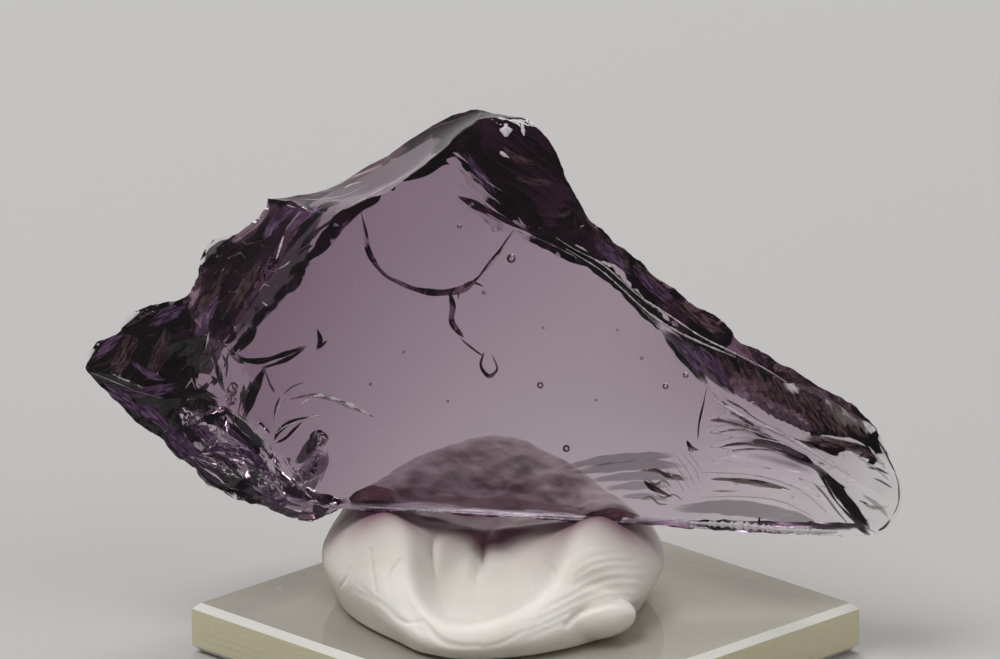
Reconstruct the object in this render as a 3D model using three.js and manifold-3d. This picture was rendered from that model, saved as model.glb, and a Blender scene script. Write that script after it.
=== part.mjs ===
// A broken piece of violet glass, pressed into a lump of putty on a square acrylic base.
// Millimetres, +Z up, +Y away from the front of the piece.
// The origin is the middle of the base's underside.
import * as THREE from 'three';
import { mergeVertices } from 'three/addons/utils/BufferGeometryUtils.js';
import Module from 'manifold-3d';

// ---------- driving dimensions ----------
const plateSide = 50.8;
const plateThickness = 5.5;
const plateBevel = 0.7;
const plateTurn = Math.PI / 4;
const seatGap = 0.3;                      // clearance that every touching pair keeps
const leanAngle = THREE.MathUtils.degToRad(18.7);
const forwardShift = 6;                   // the crystal sits this far towards the front, along its own depth
const latticeStep = 8.5;                  // spacing of the helper points inside a large facet
const refinements = 2;                    // each one cuts every triangle of the cage into four
const puttyCentre = new THREE.Vector2(-3.5, 2);
const puttyAzimuths = 64;
const puttySteps = 18;

// ---------- the crystal's cage ----------
// Each point is [across, depth, height] as seen on the shard's broad face: depth runs away from the
// viewer, and height is measured along the leaning face, from the top of the base.
const cagePoints = {
  // the outline, clockwise from the left tip, over the peak, round the right end and back underneath
  o: [
    [-47.2, 6.2, 24.9], [-47.1, 7, 26.7], [-46.1, 7.2, 28.1], [-44, 6.4, 28.9], [-43.2, 6, 30.2],
    [-41.7, 5.4, 31.4], [-39.8, 5.2, 32.1], [-36.8, 4.8, 32.8], [-35.2, 4.5, 35.2], [-34.7, 4, 37.6],
    [-33.6, 4, 39], [-31.2, 4, 39.6], [-29, 5, 41.2], [-27.8, 6.5, 43.5], [-24.3, 8, 43.9],
    [-20.5, 8.5, 44.9], [-17.2, 9, 46.9], [-13.5, 9, 49.1], [-10.3, 9, 51.2], [-6.6, 8.5, 52.8],
    [-4.7, 7.5, 53], [-0.4, 5.5, 52.2], [1.9, 4, 50.4], [3.4, 3.6, 48.2], [4.5, 3.6, 45.3],
    [5.9, 3.6, 42.9], [6.9, 3.6, 41.1], [8.2, 3, 40.2], [9.5, 3, 38.7], [12.3, 3, 36.8],
    [14.6, 2.9, 34.6], [17, 2.8, 32.9], [21.1, 2.8, 30.4], [22.5, 2.7, 28.5], [25, 2.6, 27.3],
    [29.5, 2.9, 24.6], [34.4, 2.5, 21.7], [36.4, 2.2, 20], [37.8, 1.8, 18.3], [39, 1.6, 15.7],
    [40.3, 1.5, 12.9], [40.3, 1.5, 10.7], [39.3, 1.6, 8.7], [37.9, 1.5, 7.4], [33.8, 1.2, 7.2],
    [29.5, 1, 7.1], [24.1, 0.6, 7.6], [18.8, 0, 8], [12.3, 0, 8.5], [3.7, 0, 8.9],
    [-4.9, 0, 9.4], [-13.5, 0, 10], [-20, 0.6, 10.3], [-22.3, 2.5, 9], [-24.8, 3, 9],
    [-27.5, 3.5, 10.1], [-31.3, 4, 11.1], [-34.4, 4.2, 12.8], [-37.4, 4.3, 15.6], [-40.4, 4.5, 18.4],
    [-43.9, 4.9, 21.6],
  ],
  // the clear front window, clockwise from below the peak
  f: [
    [-9.2, 1, 48.4], [-7.5, 0.6, 46.1], [-7.3, 0.3, 43.7], [-1.5, 0, 40.2], [3.7, 0, 38],
    [8, 0, 35.7], [11, 0, 33], [13.9, 0, 29.9], [17.3, 0, 26.1], [19.5, 0.2, 23.1],
    [18.7, 0.1, 17.5], [18.3, 0, 12.7], [-22.1, 0.8, 10.8], [-24.3, 0.8, 13.7], [-27, 0.8, 17.4],
    [-30.7, 1, 20.3], [-29.3, 0.6, 23.4], [-30.9, 0.6, 26.5], [-27.7, 0.3, 31.8], [-24.4, 0, 35.8],
    [-21.9, 0, 39.8], [-18.7, 0.3, 42.6], [-15.1, 0.6, 44], [-13, 0.8, 45.5],
  ],
  // the bright ridge down the right shoulder
  r: [
    [3.9, 1.2, 38.9], [8, 1.4, 36.7], [12.8, 1.4, 32.4], [17.7, 1.8, 29], [23.1, 2.1, 26.4],
    [28.1, 2.1, 23.6], [34.9, 1.6, 20.3],
  ],
  // the two ridges that fan out towards the right end, and the sliver below them
  g: [[21.2, 0.6, 22.1], [25.2, 0.8, 19.9], [29.5, 1, 17.8], [34.4, 1.2, 17.4]],
  h: [[25.4, 0.5, 18.5], [30.1, 0.6, 15.9], [35.1, 1, 13.4]],
  s: [[33.6, 0.6, 10.7]],
  // corners of the chipped left end
  m: [
    [-32.3, 2.2, 32.6], [-34.2, 2.4, 28.8], [-35.6, 3.4, 22.3], [-38.8, 3.2, 21.8], [-43.6, 3.8, 24.3],
    [-32, 2.6, 20.6], [-40.4, 4, 27.7],
  ],
  q: [[-35, 2.8, 15.9], [-28.8, 2, 14.5], [-25.9, 1.8, 11.6]],
  // the knob just under the peak
  k: [[-4.9, 4, 52]],
  // the back face, clockwise as seen from the front, from behind the peak
  b: [
    [-8.1, 13.5, 46.9], [-5.4, 12.6, 42], [-0.6, 10.8, 39], [5.3, 9.2, 36.4], [11, 8.2, 32.2],
    [17, 9.2, 25.7], [22.2, 9.6, 20.9], [29, 8.6, 17.6], [34.4, 5.6, 17], [37.5, 2.7, 14.5],
    [37.1, 2.2, 9.1], [29.5, 3.4, 8.7], [18.8, 3.9, 8.8], [12.3, 4.2, 9.2], [3.7, 4.8, 9.8],
    [-4.9, 5.6, 10.3], [-13.5, 7, 10.9], [-20.5, 9.8, 11.9], [-24.5, 12.5, 14.5], [-29.4, 15.5, 18.6],
    [-34.3, 17.5, 23.4], [-29, 16.2, 28.7], [-24.4, 15.6, 34.3], [-19.6, 14.8, 40.1], [-14.8, 14, 43.5],
  ],
};

// Each facet is a loop of cage points, clockwise as seen from the front. hollow is how far its middle
// sinks below its edges (a negative one bulges), and rough is how ragged its edges are.
const frontFacets = [
  { name: 'window', loop: 'f0-f11 o47-o52 f12-f23', hollow: -0.5, rough: 0.02 },
  { name: 'topRim', loop: 'o13-o20 k0 f0 f23 f22 f21', hollow: 0.3, rough: 0.03 },
  { name: 'knobTop', loop: 'o20 o21 k0', hollow: 0, rough: 0.03 },
  { name: 'knob', loop: 'k0 o21-o26 r0 f3 f2 f1 f0', hollow: -0.3, rough: 0.03 },
  { name: 'shoulder', loop: 'r0 o26-o38 r6 r5 r4 r3 r2 r1', hollow: 0.1, rough: 0.08 },
  { name: 'leaf', loop: 'f3 r0-r6 o38 o39 g3 g2 g1 g0 f9 f8 f7 f6 f5 f4', hollow: 0.6, rough: 0.03 },
  { name: 'fanTop', loop: 'f9 g0-g3 o39 o40 o41 h2 h1 h0', hollow: 0.3, rough: 0.02 },
  { name: 'fanRight', loop: 'h1 h2 o41 o42 o43 s0', hollow: 0.3, rough: 0.02 },
  { name: 'fanMain', loop: 'f9 h0 h1 s0 o43-o47 f11 f10', hollow: 0.6, rough: 0.02 },
  { name: 'chunkA', loop: 'o10-o13 f21 f20 f19 f18 m0', hollow: 0.2, rough: 0.08 },
  { name: 'chunkB', loop: 'o7-o10 m0 m1', hollow: 0.1, rough: 0.08 },
  { name: 'chunkC', loop: 'm0 f18 f17 m1', hollow: 0.4, rough: 0.08 },
  { name: 'blockTop', loop: 'o3-o7 m1 m6', hollow: 0.1, rough: 0.08 },
  { name: 'blockFace', loop: 'o0-o3 m6 m1 m2 m3 m4', hollow: 0.1, rough: 0.06 },
  { name: 'greyChip', loop: 'm1 f17 f16 f15 m5 m2', hollow: 0.4, rough: 0.08 },
  { name: 'wedge', loop: 'o0 m4 m3 o59 o60', hollow: 0.2, rough: 0.06 },
  { name: 'clearChip', loop: 'm3 m2 m5 q0 o58 o59', hollow: 0.4, rough: 0.08 },
  { name: 'chipA', loop: 'm5 f15 f14 q1 q0', hollow: 0.6, rough: 0.1 },
  { name: 'chipB', loop: 'f14 f13 f12 q2 q1', hollow: 0.6, rough: 0.1 },
  { name: 'chipC', loop: 'q0 q1 q2 o55-o58', hollow: 0.6, rough: 0.1 },
  { name: 'chipD', loop: 'f12 o52-o55 q2', hollow: 0.2, rough: 0.1 },
];
const backFacets = [
  { name: 'back', loop: 'b0-b24', hollow: 1.3, rough: 0.02 },
  { name: 'backRim', loop: 'o13-o20 b0 b24 b23', hollow: 0, rough: 0.03 },
  { name: 'backKnob', loop: 'o20-o26 b3 b2 b1 b0', hollow: -0.1, rough: 0.05 },
  { name: 'backShoulder', loop: 'o26-o32 b5 b4 b3', hollow: -0.1, rough: 0.05 },
  { name: 'backLeaf', loop: 'o32-o38 b8 b7 b6 b5', hollow: -0.1, rough: 0.05 },
  { name: 'backEnd', loop: 'o38-o43 b10 b9 b8', hollow: 0, rough: 0.05 },
  { name: 'underRight', loop: 'o43-o47 b12 b11 b10', hollow: 0.2, rough: 0.04 },
  { name: 'underMiddle', loop: 'o47-o52 b17 b16 b15 b14 b13 b12', hollow: 0.3, rough: 0.04 },
  { name: 'underLeft', loop: 'o52-o56 b18 b17', hollow: 0.3, rough: 0.06 },
  { name: 'backLow', loop: 'o56-o60 o0 b20 b19 b18', hollow: 0, rough: 0.06 },
  { name: 'backLeft', loop: 'o0-o7 b21 b20', hollow: -0.1, rough: 0.06 },
  { name: 'backTop', loop: 'o7-o13 b23 b22 b21', hollow: -0.2, rough: 0.06 },
];

// A loop names its points one by one, or as a run such as o13-o20.
function pointNames(loop) {
  return loop.split(' ').flatMap((item) => {
    const [first, last] = item.split('-');
    if (!last) return [first];
    const letter = first[0];
    const from = Number(first.slice(1));
    const count = Number(last.slice(1)) - from + 1;
    return Array.from({ length: count }, (_, i) => letter + (from + i));
  });
}

function newellNormal(points) {
  const normal = new THREE.Vector3();
  points.forEach((p, i) => {
    const q = points[(i + 1) % points.length];
    normal.x += (p.y - q.y) * (p.z + q.z);
    normal.y += (p.z - q.z) * (p.x + q.x);
    normal.z += (p.x - q.x) * (p.y + q.y);
  });
  return normal.normalize();
}

function cross2(a, b, c) {
  return (b.x - a.x) * (c.y - a.y) - (b.y - a.y) * (c.x - a.x);
}

function edgeDistance(p, loop) {
  let nearest = Infinity;
  loop.forEach((a, i) => {
    const edge = loop[(i + 1) % loop.length].clone().sub(a);
    const along = THREE.MathUtils.clamp(p.clone().sub(a).dot(edge) / edge.lengthSq(), 0, 1);
    nearest = Math.min(nearest, p.distanceTo(a.clone().addScaledVector(edge, along)));
  });
  return nearest;
}

function isInside(p, loop) {
  let inside = false;
  loop.forEach((a, i) => {
    const b = loop[(i + 1) % loop.length];
    const crosses = (a.y > p.y) !== (b.y > p.y);
    if (crosses && p.x < ((b.x - a.x) * (p.y - a.y)) / (b.y - a.y) + a.x) inside = !inside;
  });
  return inside;
}

// Helper points on a triangular lattice, clear of the facet's edges.
function latticePoints(loop) {
  const box = new THREE.Box2().setFromPoints(loop);
  const rowHeight = latticeStep * Math.sqrt(3) / 2;
  const points = [];
  let row = 0;
  for (let y = box.min.y + rowHeight / 2; y < box.max.y; y += rowHeight) {
    const start = box.min.x + (row % 2 ? latticeStep : latticeStep / 2);
    for (let x = start; x < box.max.x; x += latticeStep) {
      const p = new THREE.Vector2(x, y);
      if (isInside(p, loop) && edgeDistance(p, loop) > latticeStep * 0.42) points.push(p);
    }
    row += 1;
  }
  return points;
}

// True if the diagonal shared by triangles abc and bad would be better turned.
function wantsFlip(a, b, c, d) {
  const convex = cross2(c, a, d) > 1e-6 && cross2(d, b, c) > 1e-6;
  const angleAt = (p) => Math.abs(a.clone().sub(p).angleTo(b.clone().sub(p)));
  return convex && angleAt(c) + angleAt(d) > Math.PI + 1e-6;
}

function flipToDelaunay(flat, triangles) {
  for (let pass = 0; pass < 60; pass += 1) {
    const owners = new Map();
    const touched = new Set();
    let flips = 0;
    triangles.forEach((triangle, t) => triangle.forEach((a, i) => {
      owners.set(`${a}_${triangle[(i + 1) % 3]}`, [t, triangle[(i + 2) % 3]]);
    }));
    for (const [edge, [t, c]] of owners) {
      const [a, b] = edge.split('_').map(Number);
      const other = owners.get(`${b}_${a}`);
      if (!other || touched.has(t) || touched.has(other[0])) continue;
      const d = other[1];
      if (!wantsFlip(flat[a], flat[b], flat[c], flat[d])) continue;
      triangles[t] = [c, a, d];
      triangles[other[0]] = [d, b, c];
      touched.add(t).add(other[0]);
      flips += 1;
    }
    if (flips === 0) return;
  }
}

// Triangles of a flat loop and the helper points inside it.
function triangulate(loop, helpers) {
  const flat = [...loop, ...helpers];
  const triangles = THREE.ShapeUtils.triangulateShape(loop, []).map((triangle) => {
    const [a, b, c] = triangle;
    return cross2(flat[a], flat[b], flat[c]) > 0 ? [a, b, c] : [a, c, b];
  });
  helpers.forEach((p, i) => {
    const holds = (t) => t.every((a, k) => cross2(flat[a], flat[t[(k + 1) % 3]], p) > -1e-9);
    const index = triangles.findIndex(holds);
    const [a, b, c] = triangles[index];
    const added = loop.length + i;
    triangles.splice(index, 1, [a, b, added], [b, c, added], [c, a, added]);
    flipToDelaunay(flat, triangles);
  });
  flipToDelaunay(flat, triangles);
  return triangles;
}

// The coarse cage: points, triangles, and the facet that each triangle belongs to.
function buildCage() {
  const points = [];
  const index = {};
  for (const [letter, rows] of Object.entries(cagePoints)) {
    rows.forEach((row, i) => {
      index[letter + i] = points.length;
      points.push(new THREE.Vector3(...row));
    });
  }
  const triangles = [];
  const owners = [];
  const addFacet = (facet, isFront) => {
    const ids = pointNames(facet.loop).map((name) => index[name]);
    if (isFront) ids.reverse();
    const corners = ids.map((i) => points[i]);
    const normal = newellNormal(corners);
    const centre = corners.reduce((sum, p) => sum.add(p), new THREE.Vector3()).divideScalar(ids.length);
    const across = new THREE.Vector3(0, 0, 1).cross(normal).normalize();
    const up = normal.clone().cross(across);
    const flat = corners.map((p) => {
      const offset = p.clone().sub(centre);
      return new THREE.Vector2(offset.dot(across), offset.dot(up));
    });
    const helpers = latticePoints(flat);
    helpers.forEach((p) => {
      ids.push(points.length);
      points.push(centre.clone().addScaledVector(across, p.x).addScaledVector(up, p.y));
    });
    triangulate(flat, helpers).forEach((triangle) => {
      triangles.push(triangle.map((i) => ids[i]));
      owners.push(facet);
    });
  };
  frontFacets.forEach((facet) => addFacet(facet, true));
  backFacets.forEach((facet) => addFacet(facet, false));
  return { points, triangles, owners };
}

// A repeatable number from -0.5 to 0.5 for a place.
function scatter(x, y, z) {
  const value = Math.sin(x * 12.9898 + y * 78.233 + z * 37.719) * 43758.5453;
  return value - Math.floor(value) - 0.5;
}

function edgeKey(a, b) {
  return a < b ? `${a}_${b}` : `${b}_${a}`;
}

function edgeTable({ triangles }) {
  const table = new Map();
  triangles.forEach((triangle, t) => triangle.forEach((a, i) => {
    const key = edgeKey(a, triangle[(i + 1) % 3]);
    if (!table.has(key)) table.set(key, []);
    table.get(key).push(t);
  }));
  return table;
}

// Cuts each triangle into four. The edges between facets are rounded into curves and made ragged.
function refine(mesh) {
  const { points, triangles, owners } = mesh;
  const table = edgeTable(mesh);
  const isCrease = ([s, t]) => owners[s] !== owners[t];
  const creaseNeighbours = points.map(() => []);
  for (const [key, pair] of table) {
    if (!isCrease(pair)) continue;
    const [a, b] = key.split('_').map(Number);
    creaseNeighbours[a].push(b);
    creaseNeighbours[b].push(a);
  }
  // the crease point that carries the line from b to a onward, if the line goes nearly straight on
  const onward = (a, b) => {
    const direction = points[a].clone().sub(points[b]).normalize();
    let best = points[a].clone().multiplyScalar(2).sub(points[b]);
    let straightest = 0.75;
    for (const c of creaseNeighbours[a]) {
      if (c === b) continue;
      const straightness = points[c].clone().sub(points[a]).normalize().dot(direction);
      if (straightness > straightest) {
        straightest = straightness;
        best = points[c];
      }
    }
    return best;
  };
  const middles = new Map();
  const newPoints = [...points];
  for (const [key, pair] of table) {
    const [a, b] = key.split('_').map(Number);
    const sum = points[a].clone().add(points[b]);
    const middle = sum.clone().multiplyScalar(0.5);
    if (isCrease(pair)) {
      middle.copy(sum).multiplyScalar(9 / 16);
      middle.addScaledVector(onward(a, b), -1 / 16).addScaledVector(onward(b, a), -1 / 16);
      const rough = Math.max(...pair.map((t) => owners[t].rough));
      const swing = 2 * rough * points[a].distanceTo(points[b]);
      middle.x += swing * scatter(sum.x, sum.y, sum.z);
      middle.y += swing * scatter(sum.y, sum.z, sum.x);
      middle.z += swing * scatter(sum.z, sum.x, sum.y);
    }
    middles.set(key, newPoints.length);
    newPoints.push(middle);
  }
  const newTriangles = [];
  const newOwners = [];
  triangles.forEach(([a, b, c], t) => {
    const ab = middles.get(edgeKey(a, b));
    const bc = middles.get(edgeKey(b, c));
    const ca = middles.get(edgeKey(c, a));
    newTriangles.push([a, ab, ca], [ab, b, bc], [ca, bc, c], [ab, bc, ca]);
    newOwners.push(owners[t], owners[t], owners[t], owners[t]);
  });
  return { points: newPoints, triangles: newTriangles, owners: newOwners };
}

// Spans each facet between its ragged edges like a taut skin, then lets its middle sink or bulge.
function relax(mesh) {
  const { points, triangles, owners } = mesh;
  const neighbours = points.map(() => []);
  const facetOf = points.map(() => null);
  triangles.forEach((triangle, t) => triangle.forEach((a) => { facetOf[a] = owners[t]; }));
  for (const [key, [s, t]] of edgeTable(mesh)) {
    const [a, b] = key.split('_').map(Number);
    neighbours[a].push(b);
    neighbours[b].push(a);
    if (owners[s] !== owners[t]) {
      facetOf[a] = null;
      facetOf[b] = null;
    }
  }
  triangles.forEach((triangle, t) => triangle.forEach((a) => {
    if (facetOf[a] !== null && facetOf[a] !== owners[t]) facetOf[a] = null;
  }));
  const free = points.map((_, i) => i).filter((i) => facetOf[i] !== null);
  const depth = points.map(() => 0);
  for (let sweep = 0; sweep < 400; sweep += 1) {
    for (const i of free) {
      const around = neighbours[i];
      const mean = new THREE.Vector3();
      around.forEach((j) => mean.add(points[j]));
      points[i] = mean.divideScalar(around.length);
      depth[i] = (1 + around.reduce((sum, j) => sum + depth[j], 0)) / around.length;
    }
  }
  const deepest = new Map();
  const normals = new Map();
  free.forEach((i) => deepest.set(facetOf[i], Math.max(deepest.get(facetOf[i]) ?? 0, depth[i])));
  triangles.forEach(([a, b, c], t) => {
    if (!normals.has(owners[t])) normals.set(owners[t], new THREE.Vector3());
    const side = points[b].clone().sub(points[a]);
    normals.get(owners[t]).add(side.cross(points[c].clone().sub(points[a])));
  });
  normals.forEach((normal) => normal.normalize());
  free.forEach((i) => {
    const facet = facetOf[i];
    points[i].addScaledVector(normals.get(facet), -facet.hollow * depth[i] / deepest.get(facet));
  });
}

function toGeometry(points, triangles) {
  const geometry = new THREE.BufferGeometry();
  geometry.setAttribute('position', new THREE.Float32BufferAttribute(points.flatMap((p) => [...p]), 3));
  geometry.setIndex(triangles.flat());
  geometry.computeVertexNormals();
  return geometry;
}

function crystalGeometry() {
  let mesh = buildCage();
  for (let level = 0; level < refinements; level += 1) mesh = refine(mesh);
  relax(mesh);
  return toGeometry(mesh.points, mesh.triangles);
}

// The same surface with every face moved outward by the gap.
function grown(geometry, gap) {
  const position = geometry.attributes.position;
  const index = geometry.index.array;
  const at = (i) => new THREE.Vector3().fromBufferAttribute(position, i);
  const faceNormals = Array.from({ length: position.count }, () => []);
  for (let t = 0; t < index.length; t += 3) {
    const [a, b, c] = [index[t], index[t + 1], index[t + 2]];
    const normal = at(b).sub(at(a)).cross(at(c).sub(at(a))).normalize();
    [a, b, c].forEach((i) => faceNormals[i].push(normal));
  }
  const points = faceNormals.map((normals, i) => {
    const mean = normals.reduce((sum, n) => sum.add(n), new THREE.Vector3()).normalize();
    const leastReach = Math.max(0.4, Math.min(...normals.map((n) => n.dot(mean))));
    return at(i).addScaledVector(mean, gap / leastReach);
  });
  const triangles = [];
  for (let t = 0; t < index.length; t += 3) triangles.push([index[t], index[t + 1], index[t + 2]]);
  return toGeometry(points, triangles);
}

// ---------- the putty ----------
// Its outline by direction. turn is the direction in degrees, 0 to the right and -90 to the front, as seen
// from above. hollow is the radius and height of the dip, ridge of the crest around it, bulge of the
// fattest place, and foot is the radius of the sole.
const puttyOutline = [
  { turn: -180, hollow: [8, 8.6], ridge: [13.4, 10.2], bulge: [18.4, 5], foot: 16.6 },
  { turn: -165, hollow: [8.4, 8.8], ridge: [13, 10.7], bulge: [18.3, 5.2], foot: 16.8 },
  { turn: -152, hollow: [8.6, 8.9], ridge: [12.7, 10.8], bulge: [18.2, 5.2], foot: 17 },
  { turn: -140, hollow: [8.6, 8.1], ridge: [12.8, 10], bulge: [18.2, 5], foot: 17.4 },
  { turn: -131, hollow: [9.2, 6.6], ridge: [14, 8.4], bulge: [18.7, 4.2], foot: 17.9 },
  { turn: -123, hollow: [11, 4.6], ridge: [16.4, 6.2], bulge: [19.6, 3], foot: 18.6 },
  { turn: -113, hollow: [13.2, 3], ridge: [19, 4.1], bulge: [21, 2], foot: 20 },
  { turn: -101, hollow: [14.4, 2.4], ridge: [20.4, 3.2], bulge: [22, 1.6], foot: 21.2 },
  { turn: -82, hollow: [12.4, 3], ridge: [18.8, 4.3], bulge: [21.2, 1.9], foot: 20.4 },
  { turn: -68, hollow: [10.6, 4.4], ridge: [16.6, 5.9], bulge: [20.2, 2.3], foot: 19.5 },
  { turn: -55, hollow: [9, 6.2], ridge: [14.4, 7.9], bulge: [19.4, 2.8], foot: 18.7 },
  { turn: -42, hollow: [8, 7.8], ridge: [13, 9.6], bulge: [18.9, 3.8], foot: 17.6 },
  { turn: -30, hollow: [7.7, 8.6], ridge: [12.7, 10.4], bulge: [18.6, 4.6], foot: 16.8 },
  { turn: -12, hollow: [7.5, 8.7], ridge: [12.9, 10.2], bulge: [18.5, 4.8], foot: 16.5 },
  { turn: 0, hollow: [7.5, 8.4], ridge: [13.2, 9.8], bulge: [18.4, 4.8], foot: 16.4 },
  { turn: 45, hollow: [7.5, 9], ridge: [14, 11], bulge: [18.4, 5], foot: 16.5 },
  { turn: 90, hollow: [8, 11], ridge: [14.5, 14], bulge: [20, 5.5], foot: 18.3 },
  { turn: 135, hollow: [7.5, 9.6], ridge: [14, 12], bulge: [18.2, 5.2], foot: 16.2 },
];
const middleHeight = 7.4;                 // under the crystal
const grooves = [                         // pressed lines, as paths on the base
  { path: [[-9.8, -0.5], [-9.9, -4], [-9.8, -7.4]], width: 0.7, depth: 0.6 },
  { path: [[-4.8, 1], [-4.9, -2.4], [-5.6, -6.4]], width: 0.9, depth: 0.8 },
];
const tongue = { middle: [7.3, -12, 2.3], radii: [4.7, 3.1, 2.3], turn: 22 };

// The rows go round and round, and a smooth curve runs through them.
function outlineRow(i) {
  const count = puttyOutline.length;
  const { turn, hollow, ridge, bulge, foot } = puttyOutline[(i + count) % count];
  return { turn: turn + 360 * Math.floor(i / count), values: [...hollow, ...ridge, ...bulge, foot] };
}

function outlineAt(degrees) {
  let i = puttyOutline.length - 1;
  while (i > 0 && puttyOutline[i].turn > degrees) i -= 1;
  const [before, from, to, after] = [i - 1, i, i + 1, i + 2].map(outlineRow);
  const span = to.turn - from.turn;
  const s = (degrees - from.turn) / span;
  const values = from.values.map((value, k) => {
    const slopeFrom = span * (to.values[k] - before.values[k]) / (to.turn - before.turn);
    const slopeTo = span * (after.values[k] - value) / (after.turn - from.turn);
    const held = value * (1 + 2 * s) * (1 - s) ** 2 + to.values[k] * s * s * (3 - 2 * s);
    return held + slopeFrom * s * (1 - s) ** 2 + slopeTo * s * s * (s - 1);
  });
  return [
    new THREE.Vector3(0, middleHeight, 0),
    new THREE.Vector3(values[0], values[1], 0),
    new THREE.Vector3(values[2], values[3], 0),
    new THREE.Vector3(values[4], values[5], 0),
    new THREE.Vector3(values[6], 0, 0),
  ];
}

function grooveDepth(spot) {
  let total = 0;
  for (const groove of grooves) {
    const path = groove.path.map((p) => new THREE.Vector2(...p));
    let [nearest, place, gone] = [Infinity, 0, 0];
    for (let i = 0; i + 1 < path.length; i += 1) {
      const edge = path[i + 1].clone().sub(path[i]);
      const share = THREE.MathUtils.clamp(spot.clone().sub(path[i]).dot(edge) / edge.lengthSq(), 0, 1);
      const gap = spot.distanceTo(path[i].clone().addScaledVector(edge, share));
      if (gap < nearest) [nearest, place] = [gap, gone + edge.length() * share];
      gone += edge.length();
    }
    const taper = Math.sin(Math.PI * THREE.MathUtils.clamp(place / gone, 0.08, 0.92));
    total += groove.depth * taper * Math.exp(-((nearest / groove.width) ** 2));
  }
  return total;
}

function puttyGeometry() {
  const sole = plateThickness + seatGap;
  const points = [new THREE.Vector3(puttyCentre.x, puttyCentre.y, sole + middleHeight)];
  const triangles = [];
  const rowStart = (step) => 1 + (step - 1) * puttyAzimuths;
  const turnOf = (k) => -180 + 360 * k / puttyAzimuths;
  const profiles = Array.from({ length: puttyAzimuths }, (_, k) => (
    new THREE.CatmullRomCurve3(outlineAt(turnOf(k)), false, 'centripetal')
  ));
  for (let step = 1; step <= puttySteps; step += 1) {
    profiles.forEach((profile, k) => {
      const reach = profile.getPoint(step / puttySteps);
      const angle = THREE.MathUtils.degToRad(turnOf(k));
      const spot = new THREE.Vector2(Math.cos(angle), Math.sin(angle));
      spot.multiplyScalar(reach.x).add(puttyCentre);
      const height = step < puttySteps ? Math.max(reach.y - grooveDepth(spot), 0) : 0;
      points.push(new THREE.Vector3(spot.x, spot.y, sole + height));
    });
  }
  const soleMiddle = points.length;
  points.push(new THREE.Vector3(puttyCentre.x, puttyCentre.y, sole));
  for (let k = 0; k < puttyAzimuths; k += 1) {
    const next = (k + 1) % puttyAzimuths;
    triangles.push([0, rowStart(1) + k, rowStart(1) + next]);
    for (let step = 1; step < puttySteps; step += 1) {
      const [a, b] = [rowStart(step) + k, rowStart(step) + next];
      const [c, d] = [rowStart(step + 1) + k, rowStart(step + 1) + next];
      triangles.push([a, c, b], [b, c, d]);
    }
    triangles.push([rowStart(puttySteps) + k, soleMiddle, rowStart(puttySteps) + next]);
  }
  return toGeometry(points, triangles);
}

function tongueGeometry() {
  const geometry = new THREE.SphereGeometry(1, 24, 16);
  geometry.scale(...tongue.radii);
  geometry.rotateZ(THREE.MathUtils.degToRad(tongue.turn));
  const [x, y, z] = tongue.middle;
  geometry.translate(x, y, plateThickness + seatGap + z);
  return geometry;
}

// ---------- solids ----------
const wasm = await Module();
wasm.setup();

function toSolid(source) {
  const bare = source.clone();
  bare.deleteAttribute('normal');
  bare.deleteAttribute('uv');
  const geometry = mergeVertices(bare, 1e-5);
  const vertProperties = new Float32Array(geometry.attributes.position.array);
  const triVerts = new Uint32Array(geometry.index.array);
  return new wasm.Manifold(new wasm.Mesh({ numProp: 3, vertProperties, triVerts }));
}

function fromSolid(solid) {
  const mesh = solid.getMesh();
  const geometry = new THREE.BufferGeometry();
  geometry.setAttribute('position', new THREE.Float32BufferAttribute(Array.from(mesh.vertProperties), 3));
  geometry.setIndex(Array.from(mesh.triVerts));
  geometry.computeVertexNormals();
  return geometry;
}

function largestPiece(solid) {
  const pieces = solid.decompose();
  return pieces.reduce((best, piece) => (piece.volume() > best.volume() ? piece : best));
}

function plateGeometry() {
  const half = plateSide / 2 - plateBevel;
  const square = new THREE.Shape();
  square.moveTo(-half, -half).lineTo(half, -half).lineTo(half, half).lineTo(-half, half).closePath();
  const geometry = new THREE.ExtrudeGeometry(square, {
    depth: plateThickness - 2 * plateBevel,
    bevelEnabled: true,
    bevelSegments: 1,
    bevelSize: plateBevel,
    bevelThickness: plateBevel,
  });
  geometry.translate(0, 0, plateBevel);
  return geometry;
}

// ---------- the scene graph ----------
const group = new THREE.Group();

const baseMaterial = new THREE.MeshStandardMaterial({ color: 0xd9d3b8, roughness: 0.08, metalness: 0 });
const base = new THREE.Mesh(plateGeometry(), baseMaterial);
base.name = 'acrylic_base';
base.rotation.z = plateTurn;
group.add(base);

const leaning = new THREE.Group();
leaning.position.z = plateThickness;
leaning.rotation.x = -leanAngle;
group.add(leaning);
const crystalMaterial = new THREE.MeshStandardMaterial({ color: 0x7d6478, roughness: 0.04, metalness: 0 });
const crystal = new THREE.Mesh(crystalGeometry(), crystalMaterial);
crystal.name = 'andara_crystal';
crystal.position.y = -forwardShift;
leaning.add(crystal);
group.updateMatrixWorld(true);

const seat = grown(crystal.geometry, seatGap * 1.3).applyMatrix4(crystal.matrixWorld);
const lump = toSolid(puttyGeometry()).add(toSolid(tongueGeometry()));
const puttyMaterial = new THREE.MeshStandardMaterial({ color: 0xc9c2b8, roughness: 0.75, metalness: 0 });
const putty = new THREE.Mesh(fromSolid(largestPiece(lump.subtract(toSolid(seat)))), puttyMaterial);
putty.name = 'mounting_putty';
group.add(putty);

export default group;
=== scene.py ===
import bpy
import math
import numpy as np
from mathutils import Vector, Matrix, geometry, noise
from mathutils.bvhtree import BVHTree


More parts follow.
